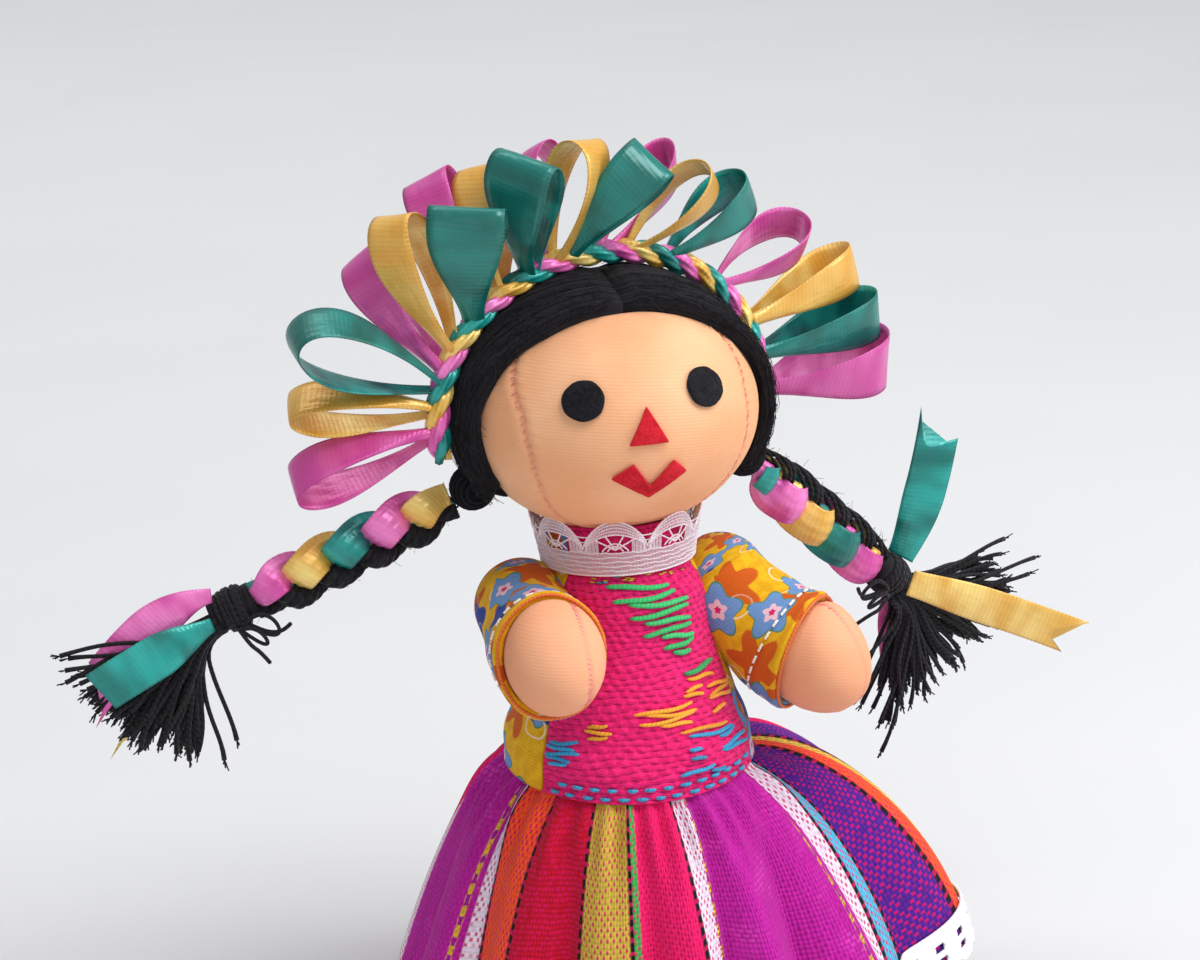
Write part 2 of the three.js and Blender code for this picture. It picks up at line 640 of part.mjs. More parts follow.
function makePlait(head, name, sign) {
  const plait = groupAt(head, ...knotPlace(sign).toArray());
  const plaitStart = hairKnot + seamGap;
  plait.rotation.set(0, sign * radians(plaitDroop[name]), sign * radians(plaitSetBack[name]));

  // Three strands cross over and under each other, and draw together at both ends.
  const steps = Math.round((plaitLength / plaitPitch) * 10);
  ribbonColours.forEach((colour, k) => {
    const points = [];
    const radii = [];
    for (const i of range(steps + 1)) {
      const along = i / steps;
      const phase = 2 * Math.PI * ((along * plaitLength) / plaitPitch + k / ribbonColours.length);
      const full = blend(plaitTaper, 1, eased(Math.min(along, 1 - along) * 5));
      const height = full * plaitHalfWidth * Math.sin(phase);
      const depth = full * plaitHalfDepth * Math.sin(2 * phase);
      points.push(vector(sign * (plaitStart + along * plaitLength), depth, height));
      radii.push(full * plaitStrandRadius);
    }
    addPiece(plait, `plait_${name}_${colour}`, strand(points, radii, 5), satin(colours[colour]));
  });

  // Yarn wound round the end of the plait.
  const tieStart = plaitStart + plaitLength + 3 * seamGap;
  const bulge = [[0, 0], [0.8, 0], [1, 0.25], [0.92, 0.5], [1, 0.75], [0.8, 1], [0, 1]];
  const profile = bulge.map(([radius, along]) => new THREE.Vector2(tieRadius * radius, tieStart + tieLength * along));
  const tie = new THREE.LatheGeometry(profile, 14).rotateZ(sign * -Math.PI / 2);
  addPiece(plait, `plait_tie_${name}`, tie, cloth(colours.black));

  // The tassel of yarn ends fans out and hangs down.
  const tasselStart = tieStart + tieLength + seamGap;
  const tasselRows = 6;
  const tasselRings = range(tasselRows + 1).map((i) => {
    const along = i / tasselRows;
    const fan = eased(along * 0.8) / eased(0.8);
    const bend = tasselLength * tasselBend * along * along;
    const centre = vector(sign * (tasselStart + tasselLength * along - bend * 0.3), 0, -bend);
    const lean = 2 * tasselBend * along;
    const up = vector(sign * Math.sin(lean), 0, Math.cos(lean));
    const start = 0.7 * tieRadius;
    const halfHeight = blend(start, tasselHalfHeight, fan);
    return ellipseRing(centre, vector(0, 1, 0), up, blend(start, tasselHalfDepth, fan), halfHeight, 14);
  });
  addPiece(plait, `plait_tassel_${name}`, loft(tasselRings), cloth(colours.black));

  // Free ends of the three ribbons. Their paths are given as they lie in the doll's own directions.
  const straighten = new THREE.Quaternion().setFromEuler(plait.rotation).invert();
  for (const [colour, { path, turn }] of Object.entries(ribbonTails[name])) {
    const tailSteps = 8;
    const [start, middle, end] = path.map(([out, back, up]) => vector(sign * out, back, up));
    const curve = new THREE.QuadraticBezierCurve3(start, middle, end);
    const points = curve.getPoints(tailSteps);
    const directions = points.map((_, i) => {
      const tangent = curve.getTangent(i / tailSteps);
      const facing = tangent.clone().cross(vector(0, 1, 0)).normalize();
      return facing.applyAxisAngle(tangent, radians(turn)).applyQuaternion(straighten);
    });
    const tieEnd = vector(sign * (tieStart + tieLength + seamGap), 0, 0);
    const placed = points.map((point) => point.applyQuaternion(straighten).add(tieEnd));
    const widths = placed.map((_, i) => ribbonWidth * blend(0.5, 1, eased((2 * i) / tailSteps)));
    addPiece(plait, `ribbon_tail_${name}_${colour}`, ribbon(placed, widths, directions), satin(colours[colour]));
  }
}

// Rings of an arm or sleeve: a ball round the shoulder, then the curve. Size gives half width and half height.
function armRings(ballRadius, backTo, lastPlace, size, steps, count = 14) {
  const across = vector(1, 0, 0);
  const curve = new THREE.CubicBezierCurve3(...armCurve.map(([forward, up]) => vector(0, -forward, up)));
  const ringAt = (centre, tangent, halfWidth, halfHeight) => {
    const up = tangent.clone().cross(across).normalize();
    return ellipseRing(centre, across, up, halfWidth, halfHeight, count);
  };
  const start = curve.getTangent(0);
  const backRows = 4;
  const behind = range(backRows).map((i) => {
    const back = backTo * Math.cos((i / backRows) * (Math.PI / 2));
    const radius = Math.sqrt(ballRadius * ballRadius - back * back);
    return ringAt(start.clone().multiplyScalar(-back), start, radius, radius);
  });
  const ahead = range(steps + 1).map((i) => {
    const place = (lastPlace * i) / steps;
    return ringAt(curve.getPoint(place), curve.getTangent(place), ...size(place));
  });
  return [...behind, ...ahead];
}

// Half width and half height of the sleeve, which widens from the shoulder to its cuff.
const sleeveSize = (inset) => (place) => {
  const share = eased(place / cuffPlace);
  const widen = (cuff) => blend(shoulderBall, cuff, share) - inset;
  return [widen(cuffHalfWidth), widen(cuffHalfHeight)];
};

// The room that both arms need beside the body, as solids at steps through their swing.
function armRooms() {
  return sides.flatMap(({ name, sign }) => {
    const [down, up] = armSwing[name];
    const steps = 3;
    const room = shoulderBall + jointGap;
    return range(steps + 1).map((i) => {
      const raise = armRaise[name] + blend(down, up, i / steps);
      const shape = loft(armRings(room, 0.97 * room, cuffPlace, sleeveSize(-jointGap), 5, 16));
      shape.rotateX(-radians(raise)).rotateZ(sign * radians(armTurnOut[name]));
      return shape.translate(...shoulderPlace(sign));
    });
  });
}

function makeArm(doll, name, sign) {
  const shoulder = groupAt(doll, ...shoulderPlace(sign));
  shoulder.rotation.z = sign * radians(armTurnOut[name]);
  const arm = groupAt(shoulder, 0, 0, 0);
  arm.rotation.x = -radians(armRaise[name]);

  // The sleeve is open at both ends.
  const sleeveSteps = 5;
  const backTo = 0.8 * shoulderBall;
  const outer = armRings(shoulderBall, backTo, cuffPlace, sleeveSize(0), sleeveSteps);
  const inside = shoulderBall - sleeveCloth;
  const inner = armRings(inside, Math.min(backTo, 0.93 * inside), cuffPlace, sleeveSize(sleeveCloth), sleeveSteps);
  addPiece(arm, `sleeve_${name}`, shell(outer, inner), cloth(colours.print));

  // The stuffed arm fills the sleeve and swells into a mitten hand with a rounded end.
  const inset = sleeveCloth + seamGap;
  const armSize = (place) => {
    if (place <= cuffPlace) return sleeveSize(inset)(place);
    const share = (place - cuffPlace) / (1 - cuffPlace);
    const dome = Math.sqrt(Math.max(0.02, 1 - Math.pow(Math.max(0, share - 0.35) / 0.65, 2.4)));
    const swell = eased(Math.min(1, share * 4));
    return [
      blend(cuffHalfWidth - inset, handHalfWidth, swell) * dome,
      blend(cuffHalfHeight - inset, handHalfHeight, swell) * dome,
    ];
  };
  const filling = shoulderBall - inset;
  addPiece(arm, `arm_${name}`, loft(armRings(filling, 0.97 * filling, 1, armSize, 13)), cloth(colours.skin));
}

function makeLeg(doll, name, sign) {
  const leg = groupAt(doll, ...hipPlace(sign));
  const sole = slipperSole + seamGap - hipHeight; // height of the foot's underside below the hip
  const ballRows = 6;
  const ballEnd = -Math.acos(thighRadius / hipBall);
  const top = range(ballRows + 1).map((i) => {
    const angle = blend(Math.PI / 2, ballEnd, i / ballRows);
    return new THREE.Vector2(i === 0 ? 0 : hipBall * Math.cos(angle), hipBall * Math.sin(angle));
  });
  const shape = [
    new THREE.Vector2(kneeRadius, 0.5 * sole),
    new THREE.Vector2(ankleRadius, 0.8 * sole),
    new THREE.Vector2(ankleRadius, 0.93 * sole),
    new THREE.Vector2(0.7 * ankleRadius, sole),
    new THREE.Vector2(0, sole),
  ];
  const profile = (over) => {
    const points = [...top, ...shape].map((p) => new THREE.Vector2(p.x > 1e-6 ? p.x + over : 0, p.y));
    points.at(-1).y -= over;
    points.at(-2).y -= over;
    return new THREE.LatheGeometry(points.toReversed(), 16).rotateX(Math.PI / 2);
  };
  addPiece(leg, `leg_${name}`, profile(0), cloth(colours.skin));

  // Slipper: a flat sole, a rounded toe and an opening for the foot.
  const middle = (slipperHeel - slipperToe) / 2;
  const half = (slipperHeel + slipperToe) / 2;
  const opening = ankleRadius + seamGap + 0.8;
  const levels = [[0, 0], [0.3, 0], [0.62, 0.4], [0.85, 0.85], [1, 1]];
  const rings = levels.map(([height, narrow]) => {
    const centre = vector(0, blend(middle, 0, narrow), height * slipperHeight - hipHeight);
    const [width, length] = [blend(slipperHalfWidth, opening, narrow), blend(half, opening, narrow)];
    return ellipseRing(centre, vector(1, 0, 0), vector(0, 1, 0), width, length, 20);
  });
  addPiece(leg, `slipper_${name}`, cut(loft(rings), profile(seamGap)), cloth(colours.slipper));
}

function makeDoll() {
  const doll = new THREE.Group();
  makeTorso(doll);
  makeBlouse(doll);
  makeCollar(doll);
  makeSkirt(doll);
  const head = groupAt(doll, 0, 0, headHeight);
  makeFace(head);
  makeHair(head);
  makeCrownBand(head);
  makeCrownLoops(head);
  for (const { name, sign } of sides) {
    makePlait(head, name, sign);
    makeArm(doll, name, sign);
    makeLeg(doll, name, sign);
  }
  return doll;
}

export default makeDoll();
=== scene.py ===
import bpy
import numpy as np
from mathutils import Matrix


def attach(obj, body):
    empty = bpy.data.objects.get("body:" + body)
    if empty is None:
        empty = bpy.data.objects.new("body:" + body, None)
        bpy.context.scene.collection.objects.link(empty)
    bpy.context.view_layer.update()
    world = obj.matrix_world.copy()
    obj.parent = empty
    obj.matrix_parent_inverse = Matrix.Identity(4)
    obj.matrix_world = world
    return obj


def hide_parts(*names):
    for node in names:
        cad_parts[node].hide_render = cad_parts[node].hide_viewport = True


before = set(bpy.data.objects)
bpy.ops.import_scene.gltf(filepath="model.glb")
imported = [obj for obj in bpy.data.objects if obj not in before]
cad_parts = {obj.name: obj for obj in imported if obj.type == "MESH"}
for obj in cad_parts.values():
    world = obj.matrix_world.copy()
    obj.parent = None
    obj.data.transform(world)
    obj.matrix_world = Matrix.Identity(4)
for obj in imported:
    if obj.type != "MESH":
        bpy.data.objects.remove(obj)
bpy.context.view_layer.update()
draw = np.random.default_rng(7)
tau = 2 * np.pi
scene = bpy.context.scene
leftward, backwards, upright = np.eye(3)
weavePitch = 0.92  # mm from row to row of the brocade
sides = (("left", 1.0), ("right", -1.0))
ribbonNames = ("pink", "yellow", "teal")
print("frame loaded")


# small maths
def unit(v):
    # the same direction, one long
    return v / np.maximum(np.linalg.norm(v, axis=-1, keepdims=True), 1e-12)


def lerp(a, b, t):
    # from a to b by the share t
    return a + (b - a) * t


def ease(t):
    # 0 to 1 with a level start and end: three squares less two cubes
    t = np.clip(t, 0, 1)
    return t * t * (3 - 2 * t)


def bell(away, half):
    # 1 in the middle, easing to 0 on both sides
    return np.exp(-((away / half) ** 2))


def vec(x, y, z):
    # points from three arrays that fit each other
    return np.stack(np.broadcast_arrays(*(np.asarray(k, float) for k in (x, y, z))), -1)


def walked(points):
    # the length along a line up to each of its points
    run = np.linalg.norm(np.diff(points, axis=-2), axis=-1).cumsum(-1)
    return np.concatenate([np.zeros(run.shape[:-1] + (1,)), run], -1)


def pairs(u, v):
    # flat coordinates from two arrays that fit each other
    return np.stack(np.broadcast_arrays(u, v), -1)


def perStep(value, like):
    # a number for each step of each strand, ready to be spread round it
    return np.broadcast_to(value, like.shape[:2])[..., None]


def turned(v, axis, degrees):
    # a vector turned about an axis: its part along the axis stays, the rest swings round
    angle = np.radians(np.asarray(degrees, float))[..., None]
    axis = unit(np.asarray(axis, float))
    along = (v * axis).sum(-1, keepdims=True) * axis
    return along + (v - along) * np.cos(angle) + np.cross(axis, v) * np.sin(angle)


def tone(code):
    # a hex colour code as linear red, green and blue
    part = np.array([int(code[i : i + 2], 16) for i in (0, 2, 4)]) / 255
    return np.where(part <= 0.04045, part / 12.92, ((part + 0.055) / 1.055) ** 2.4)


def framed(axes, place):
    # a matrix from three axes and a place in m
    made = Matrix.Identity(4)
    for k, column in enumerate((*axes, place)):
        made.col[k][:3] = column
    return made


# meshes
def shell(points, uv=None, around=False, caps=False, hoop=False, flip=False, finish=0, tint=0.5, dye=None):
    # quads between the neighbours of a grid (strips x rows x columns); around joins the last column
    # to the first and hoop the last row, caps close the first and the last row with one face each
    points = np.asarray(points, float)
    points = points[None] if points.ndim == 3 else points
    count, rows, columns, _ = points.shape
    index = np.arange(count * rows * columns).reshape(count, rows, columns)
    wide, high = columns + int(around), rows + int(hoop)
    if uv is None:
        uv = np.stack(np.meshgrid(np.linspace(0, 1, high), np.linspace(0, 1, wide), indexing="ij"), -1)
    uv = np.broadcast_to(uv, (count, high, wide, 2))
    joined = np.concatenate([index, index[:, :, :1]], 2) if around else index
    joined = np.concatenate([joined, joined[:, :1]], 1) if hoop else joined
    near, far = slice(None, -1), slice(1, None)
    corners = ((near, near), (near, far), (far, far), (far, near))
    faces = [
        (
            np.stack([joined[:, a, b] for a, b in corners], -1).reshape(-1, 4),
            np.stack([uv[:, a, b] for a, b in corners], -2).reshape(-1, 4, 2),
        )
    ]
    if caps:
        faces.append((index[:, 0, ::-1], uv[:, 0, :columns][:, ::-1]))
        faces.append((index[:, -1], uv[:, -1, :columns]))
    if flip:
        faces = [(f[:, ::-1], t[:, ::-1]) for f, t in faces]
    full = (count, rows, columns)
    return {
        "points": points.reshape(-1, 3),
        "faces": faces,
        "finish": finish,
        "tint": np.broadcast_to(tint, full).ravel(),
        "dye": np.broadcast_to((1.0, 1.0, 1.0) if dye is None else dye, full + (3,)).reshape(-1, 3),
    }


def tubes(paths, radius, count=6, flat=1.0, start=(0, 1, 0), lobes=(0, 0.0, 0.0), **more):
    # strands: a ring square to the path at each of its points, carried along without turning;
    # lobes (number, depth, turns per mm) draw folds round the ring
    paths = np.asarray(paths, float)
    paths = paths[None] if paths.ndim == 2 else paths
    strands, steps, _ = paths.shape
    tangent = unit(np.gradient(paths, axis=1))
    side = np.empty_like(paths)
    side[:, 0] = unit(np.cross(tangent[:, 0], np.broadcast_to(np.asarray(start, float), (strands, 3))))
    for i in range(1, steps):
        kept = side[:, i - 1] - (side[:, i - 1] * tangent[:, i]).sum(-1, keepdims=True) * tangent[:, i]
        side[:, i] = unit(kept)
    up = np.cross(tangent, side)
    length = walked(paths)[..., None]
    angle = np.arange(count) * tau / count
    number, depth, turns = lobes
    wave = 1 + perStep(depth, paths) * np.cos(number * angle + tau * turns * length)
    ring = perStep(radius, paths) * wave
    points = (
        paths[:, :, None]
        + side[:, :, None] * (ring * np.cos(angle))[..., None]
        + up[:, :, None] * (ring * perStep(flat, paths) * np.sin(angle))[..., None]
    )
    uv = pairs(length, np.linspace(0, 1, count + 1))
    return shell(points, uv, around=True, caps=True, **more)


def ribbons(points, across, width, thick=0.3, cup=0.0, columns=9, pleats=(0, 0.0), **more):
    # flat strips: across gives the direction of the width, cup bends the strip over its width, pleats
    # (number, depth) are cosine folds along it
    points = np.asarray(points, float)
    points, across = (a[None] if a.ndim == 2 else a for a in (points, across))
    tangent = unit(np.gradient(points, axis=1))
    across = unit(across - (across * tangent).sum(-1, keepdims=True) * tangent)
    normal = np.cross(tangent, across)
    c = np.linspace(1, -1, columns)
    c = np.concatenate([c, c[::-1]])
    over = np.concatenate([np.ones(columns), -np.ones(columns)])
    half = perStep(width, points) / 2
    lift = over * thick / 2 * (1 - 0.5 * c**6) + perStep(cup, points) * (1 - c * c)
    lift = lift + perStep(pleats[1], points) * np.cos(tau * pleats[0] * c)
    grid = points[:, :, None] + across[:, :, None] * (half * c)[..., None]
    grid = grid + normal[:, :, None] * lift[..., None]
    uv = pairs(walked(points)[..., None], np.append(c, c[0]) / 2 + 0.5)
    # tint 1 on one face and 0 on the other, which the satin paints in shade
    return shell(grid, uv, around=True, caps=True, tint=(over > 0).astype(float), **more)


def piece(name, shells, finishes, body, nodes=(), slot=None):
    # one object from shells, riding on its body if it has one and standing for its CAD nodes
    offsets = np.cumsum([0] + [len(s["points"]) for s in shells])
    corner, uv, size, finish = [], [], [], []
    for s, offset in zip(shells, offsets):
        for face, faceUv in s["faces"]:
            corner.append((face + offset).ravel())
            uv.append(faceUv.reshape(-1, 2))
            size.append(np.full(len(face), face.shape[1]))
            finish.append(np.full(len(face), s["finish"]))
    corner, uv, size, finish = (np.concatenate(k) for k in (corner, uv, size, finish))
    points = np.concatenate([s["points"] for s in shells])
    mesh = bpy.data.meshes.new(name)
    mesh.vertices.add(len(points))
    mesh.vertices.foreach_set("co", (points * 0.001).astype(np.float32).ravel())
    mesh.loops.add(len(corner))
    mesh.loops.foreach_set("vertex_index", corner.astype(np.int32))
    mesh.polygons.add(len(size))
    mesh.polygons.foreach_set("loop_start", (np.cumsum(size) - size).astype(np.int32))
    mesh.polygons.foreach_set("material_index", finish.astype(np.int32))
    mesh.update(calc_edges=True)
    mesh.polygons.foreach_set("use_smooth", np.ones(len(size), bool))
    mesh.uv_layers.new(name="UVMap").data.foreach_set("uv", uv.astype(np.float32).ravel())
    tint = np.concatenate([s["tint"] for s in shells]).astype(np.float32)
    mesh.attributes.new("tint", "FLOAT", "POINT").data.foreach_set("value", tint)
    dye = np.concatenate([s["dye"] for s in shells])
    dye = np.concatenate([dye, np.ones((len(dye), 1))], 1).astype(np.float32)
    mesh.color_attributes.new("dye", "FLOAT_COLOR", "POINT").data.foreach_set("color", dye.ravel())
    for f in finishes if isinstance(finishes, (list, tuple)) else [finishes]:
        mesh.materials.append(f.material)
    mesh.validate()
    made = bpy.data.objects.new(name, mesh)
    scene.collection.objects.link(made)
    if body:
        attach(made, body)
    if nodes:
        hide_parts(*nodes)
    return made


# finishes
class Wire:
    # a socket in a sum: each operator adds one Math node
    def __init__(self, finish, socket):
        self.finish = finish
        self.socket = socket

    def by(self, operation, *parts):
        # a Math node on numbers and wires, in their order
        return self.finish.add("ShaderNodeMath", {"operation": operation}, dict(enumerate(parts)))

    def __add__(self, other):
        return self.by("ADD", self, other)

    def __sub__(self, other):
        return self.by("SUBTRACT", self, other)

    def __rsub__(self, other):
        return self.by("SUBTRACT", other, self)

    def __mul__(self, other):
        return self.by("MULTIPLY", self, other)

    def __truediv__(self, other):
        return self.by("DIVIDE", self, other)

    def __pow__(self, other):
        return self.by("POWER", self, other)

    def __lt__(self, other):
        return self.by("LESS_THAN", self, other)

    def __gt__(self, other):
        return self.by("GREATER_THAN", self, other)

    __radd__ = __add__
    __rmul__ = __mul__

    def sine(self, period):
        # the sine of the wire, which repeats after one period
        return self.by("SINE", self * (tau / period))

    def wave(self, period):
        # up from 0 to 1 and down again in each period
        return self.sine(period) * 0.5 + 0.5

    def part(self):
        # what is left after the whole number
        return self.by("FRACT", self)

    def whole(self):
        # the whole number below
        return self.by("FLOOR", self)

    def size(self):
        # the value without its sign
        return self.by("ABSOLUTE", self)

    def rise(self, low, high):
        # 0 below low, 1 above high, eased between
        limits = {0: self, 1: low, 2: high, 3: 0.0, 4: 1.0}
        return self.finish.add("ShaderNodeMapRange", {"interpolation_type": "SMOOTHSTEP"}, limits)


class Finish:
    # a material with one principled shader; fixed inputs are set, the others are fed by wires
    def __init__(self, name, **fixed):
        self.material = bpy.data.materials.new(name)
        self.material.use_nodes = True
        self.tree = self.material.node_tree
        self.shader = self.tree.nodes["Principled BSDF"]
        for key, value in fixed.items():
            self.shader.inputs[key.replace("_", " ")].default_value = value

    def add(self, kind, settings=None, sockets=None, out=0):
        # one node: its settings first, then the values or links of its sockets
        node = self.tree.nodes.new(kind)
        for key, value in (settings or {}).items():
            setattr(node, key, value)
        for key, value in (sockets or {}).items():
            if isinstance(value, Wire):
                self.tree.links.new(value.socket, node.inputs[key])
            else:
                node.inputs[key].default_value = value
        return Wire(self, node.outputs[out])

    def mix(self, share, a, b):
        # two colours, the second by its share
        a, b = ((*tone(k), 1.0) if isinstance(k, str) else k for k in (a, b))
        return self.add("ShaderNodeMix", {"data_type": "RGBA"}, {0: share, 6: a, 7: b}, 2)

    def shade(self, share, colour):
        # the colour times a number
        return self.add("ShaderNodeVectorMath", {"operation": "SCALE"}, {0: colour, 3: share})

    def place(self):
        # the point on the object in m
        return self.add("ShaderNodeTexCoord", out="Object")

    def split(self, vector):
        # the three parts of a vector
        return [self.add("ShaderNodeSeparateXYZ", {}, {0: vector}, k) for k in range(3)]

    def flat(self):
        # the two coordinates of the piece's own flat map
        return self.split(self.add("ShaderNodeUVMap", {"uv_map": "UVMap"}))[:2]

    def value(self):
        # the tint kept on the mesh
        return self.add("ShaderNodeAttribute", {"attribute_name": "tint"}, out="Fac")

    def colour(self):
        # the dye kept on the mesh
        return self.add("ShaderNodeAttribute", {"attribute_name": "dye"}, out="Color")

    def point(self, x, y, z=0.0):
        # a vector from three parts
        return self.add("ShaderNodeCombineXYZ", {}, {0: x, 1: y, 2: z})

    def noise(self, vector, scale, detail=3.0):
        # smooth cloudy noise, scale cells for each unit
        return self.add("ShaderNodeTexNoise", {}, {"Vector": vector, "Scale": scale, "Detail": detail})

    def lot(self, x, y):
        # a number from 0 to 1 drawn for each cell
        flat = {"noise_dimensions": "2D"}
        return self.add("ShaderNodeTexWhiteNoise", flat, {"Vector": self.point(x, y)}, "Value")

    def bump(self, height, depth):
        # height runs from 0 to 1 over a depth in mm
        sockets = {"Height": height, "Distance": depth * 0.001, "Strength": 1.0}
        self.feed(Normal=self.add("ShaderNodeBump", {}, sockets))

    def feed(self, **wires):
        # wires into the shader's inputs by their names
        for key, wire in wires.items():
            self.tree.links.new(wire.socket, self.shader.inputs[key.replace("_", " ")])


def clothFinish(name, light, deep):
    # plain twill: lines of weft nearly level, tinted where the seam puckers (tint over 0.5)
    f = Finish(name, Roughness=0.9, Sheen_Weight=0.06, Sheen_Roughness=0.5, Specular_IOR_Level=0.15)
    place = f.place()
    x, y, z = f.split(place)
    level = (z + x * 0.1 + y * 0.04) * 1000
    grain = f.noise(place, 900.0)
    weft = (level + grain * 0.18).wave(0.45)
    broad = f.noise(place, 60.0, 2.0)
    base = f.mix(broad.rise(0.3, 0.7), light, deep)
    base = f.shade(1.03 - 0.04 * weft - 0.06 * grain, base)
    seam = f.value().rise(0.52, 1.0)
    f.feed(Base_Color=f.mix(seam * 0.3, base, "E08A76"))
    f.bump(weft * 0.5 + grain * 0.6, 0.03)
    return f


def yarnFinish(name, light, deep):
    # plied yarn: fine lines winding along each strand, a shade of its own for each strand
    f = Finish(name, Roughness=0.8, Sheen_Weight=0.12, Sheen_Roughness=0.4, Specular_IOR_Level=0.3)
    u, v = f.flat()
    ply = (u * 1.1 + v * 2.0).wave(1.0)
    fuzz = f.noise(f.place(), 2600.0)
    f.feed(Base_Color=f.mix((f.value() * 0.5 + ply * 0.3 + fuzz * 0.25).rise(0.1, 1.0), deep, light))
    f.bump(ply * 0.6 + fuzz * 0.6, 0.12)
    return f


def combedFinish(name, light, deep):
    # fine combed yarn: a shade of its own for each strand, matt and fuzzy
    f = Finish(name, Roughness=1.0, Sheen_Weight=0.04, Sheen_Roughness=0.6, Specular_IOR_Level=0.06)
    fuzz = f.noise(f.place(), 3200.0)
    f.feed(Base_Color=f.mix((f.value() * 0.6 + fuzz * 0.5).rise(0.15, 1.05), deep, light))
    return f


def feltFinish(name, light, deep):
    # pressed felt: short fibres in every direction
    f = Finish(name, Roughness=0.95, Sheen_Weight=0.08, Sheen_Roughness=0.5, Specular_IOR_Level=0.15)
    place = f.place()
    fibre = f.noise(place, 2200.0, 6.0)
    patch = f.noise(place, 420.0, 3.0)
    f.feed(Base_Color=f.mix((fibre * 0.6 + patch * 0.5).rise(0.3, 0.8), deep, light))
    f.bump(fibre, 0.16)
    return f


def satinFinish(name, light, deep, inside):
    # satin ribbon: its floating threads shine in their own colour, with a painted sheen of lighter and deeper
    # broad bands; ribs across, fine threads along, a stitched edge, and painted shade that deepens the inner
    # face (tint 0)
    f = Finish(name, Metallic=0.2, Specular_IOR_Level=0.7)
    u, v = f.flat()
    place = f.place()
    soft = f.noise(place, 160.0, 2.0)
    ribs = (u + v * 0.9 + soft * 0.5).wave(0.68)
    edge = (v - 0.5).size().rise(0.435, 0.465)
    picot = u.wave(0.62)
    # painted sheen: light and deep bands along the ribbon's length stand in for its shine
    band = f.noise(f.point(u * 0.2, v * 0.5 + soft * 0.5), 1.0, 1.5)
    along = (v + soft * 0.02).wave(0.031)
    base = f.mix(band.rise(0.36, 0.64), light, deep)
    # painted shade: the inner face (tint 0) is drawn towards the inside tone
    base = f.mix((1 - f.value()) * 0.6, base, inside)
    f.feed(Base_Color=f.shade(1.055 - 0.065 * ribs - 0.05 * along - 0.22 * edge * picot, base))
    f.feed(Roughness=0.29 + 0.05 * ribs + 0.2 * edge)
    crease = f.noise(f.point(u * 0.22, v * 4.0), 1.0, 2.0)
    f.bump(ribs * 0.65 + edge * picot * 0.8 + crease * 9.0, 0.02)
    return f


def threadFinish(name, gloss=0.5, metal=0.0):
    # thread in its own dye, with fine plies
    f = Finish(name, Roughness=gloss, Specular_IOR_Level=0.4, Sheen_Weight=0.15, Metallic=metal)
    u, v = f.flat()
    ply = (u * 1.6 + v).wave(1.0)
    fuzz = f.noise(f.place(), 3000.0)
    f.feed(Base_Color=f.shade(0.8 + 0.25 * ply + 0.2 * fuzz, f.colour()))
    f.bump(ply * 0.7 + fuzz * 0.4, 0.06)
    return f


def brocadeFinish():
    # weft-faced weave: level rows of slanting pink stitches, with painted shade in the gaps between the rows;
    # UV in mm
    f = Finish("brocadeWeave", Roughness=0.85, Sheen_Weight=0.08, Specular_IOR_Level=0.18)
    u, v = f.flat()
    row = v / weavePitch
    odd = (row.whole() * 0.37).part()
    slant = row.part()
    cell = (u / 1.7 + odd + slant * 0.3).part()
    across = (slant - 0.5).size() * 2
    place = f.place()
    fuzz = f.noise(place, 1500.0, 4.0)
    patch = f.noise(place, 500.0, 2.0)
    thread = (u * 0.25 + v).wave(0.3)
    gap = (across * (0.62 + 0.8 * (cell - 0.5).size()) + patch * 0.4 - 0.2).rise(0.6, 0.95)
    base = f.mix(fuzz.rise(0.3, 0.7), "DA1264", "F52A7C")
    base = f.shade(0.9 + 0.16 * thread, base)
    # painted shade: the gaps between the rows drawn towards a deep pink
    f.feed(Base_Color=f.mix(gap * 0.8, base, "8C0A3C"))
    f.bump((1 - across * across) * (0.7 + 0.3 * (cell.sine(1.0))) + fuzz * 0.35 + thread * 0.2, 0.16)
    return f


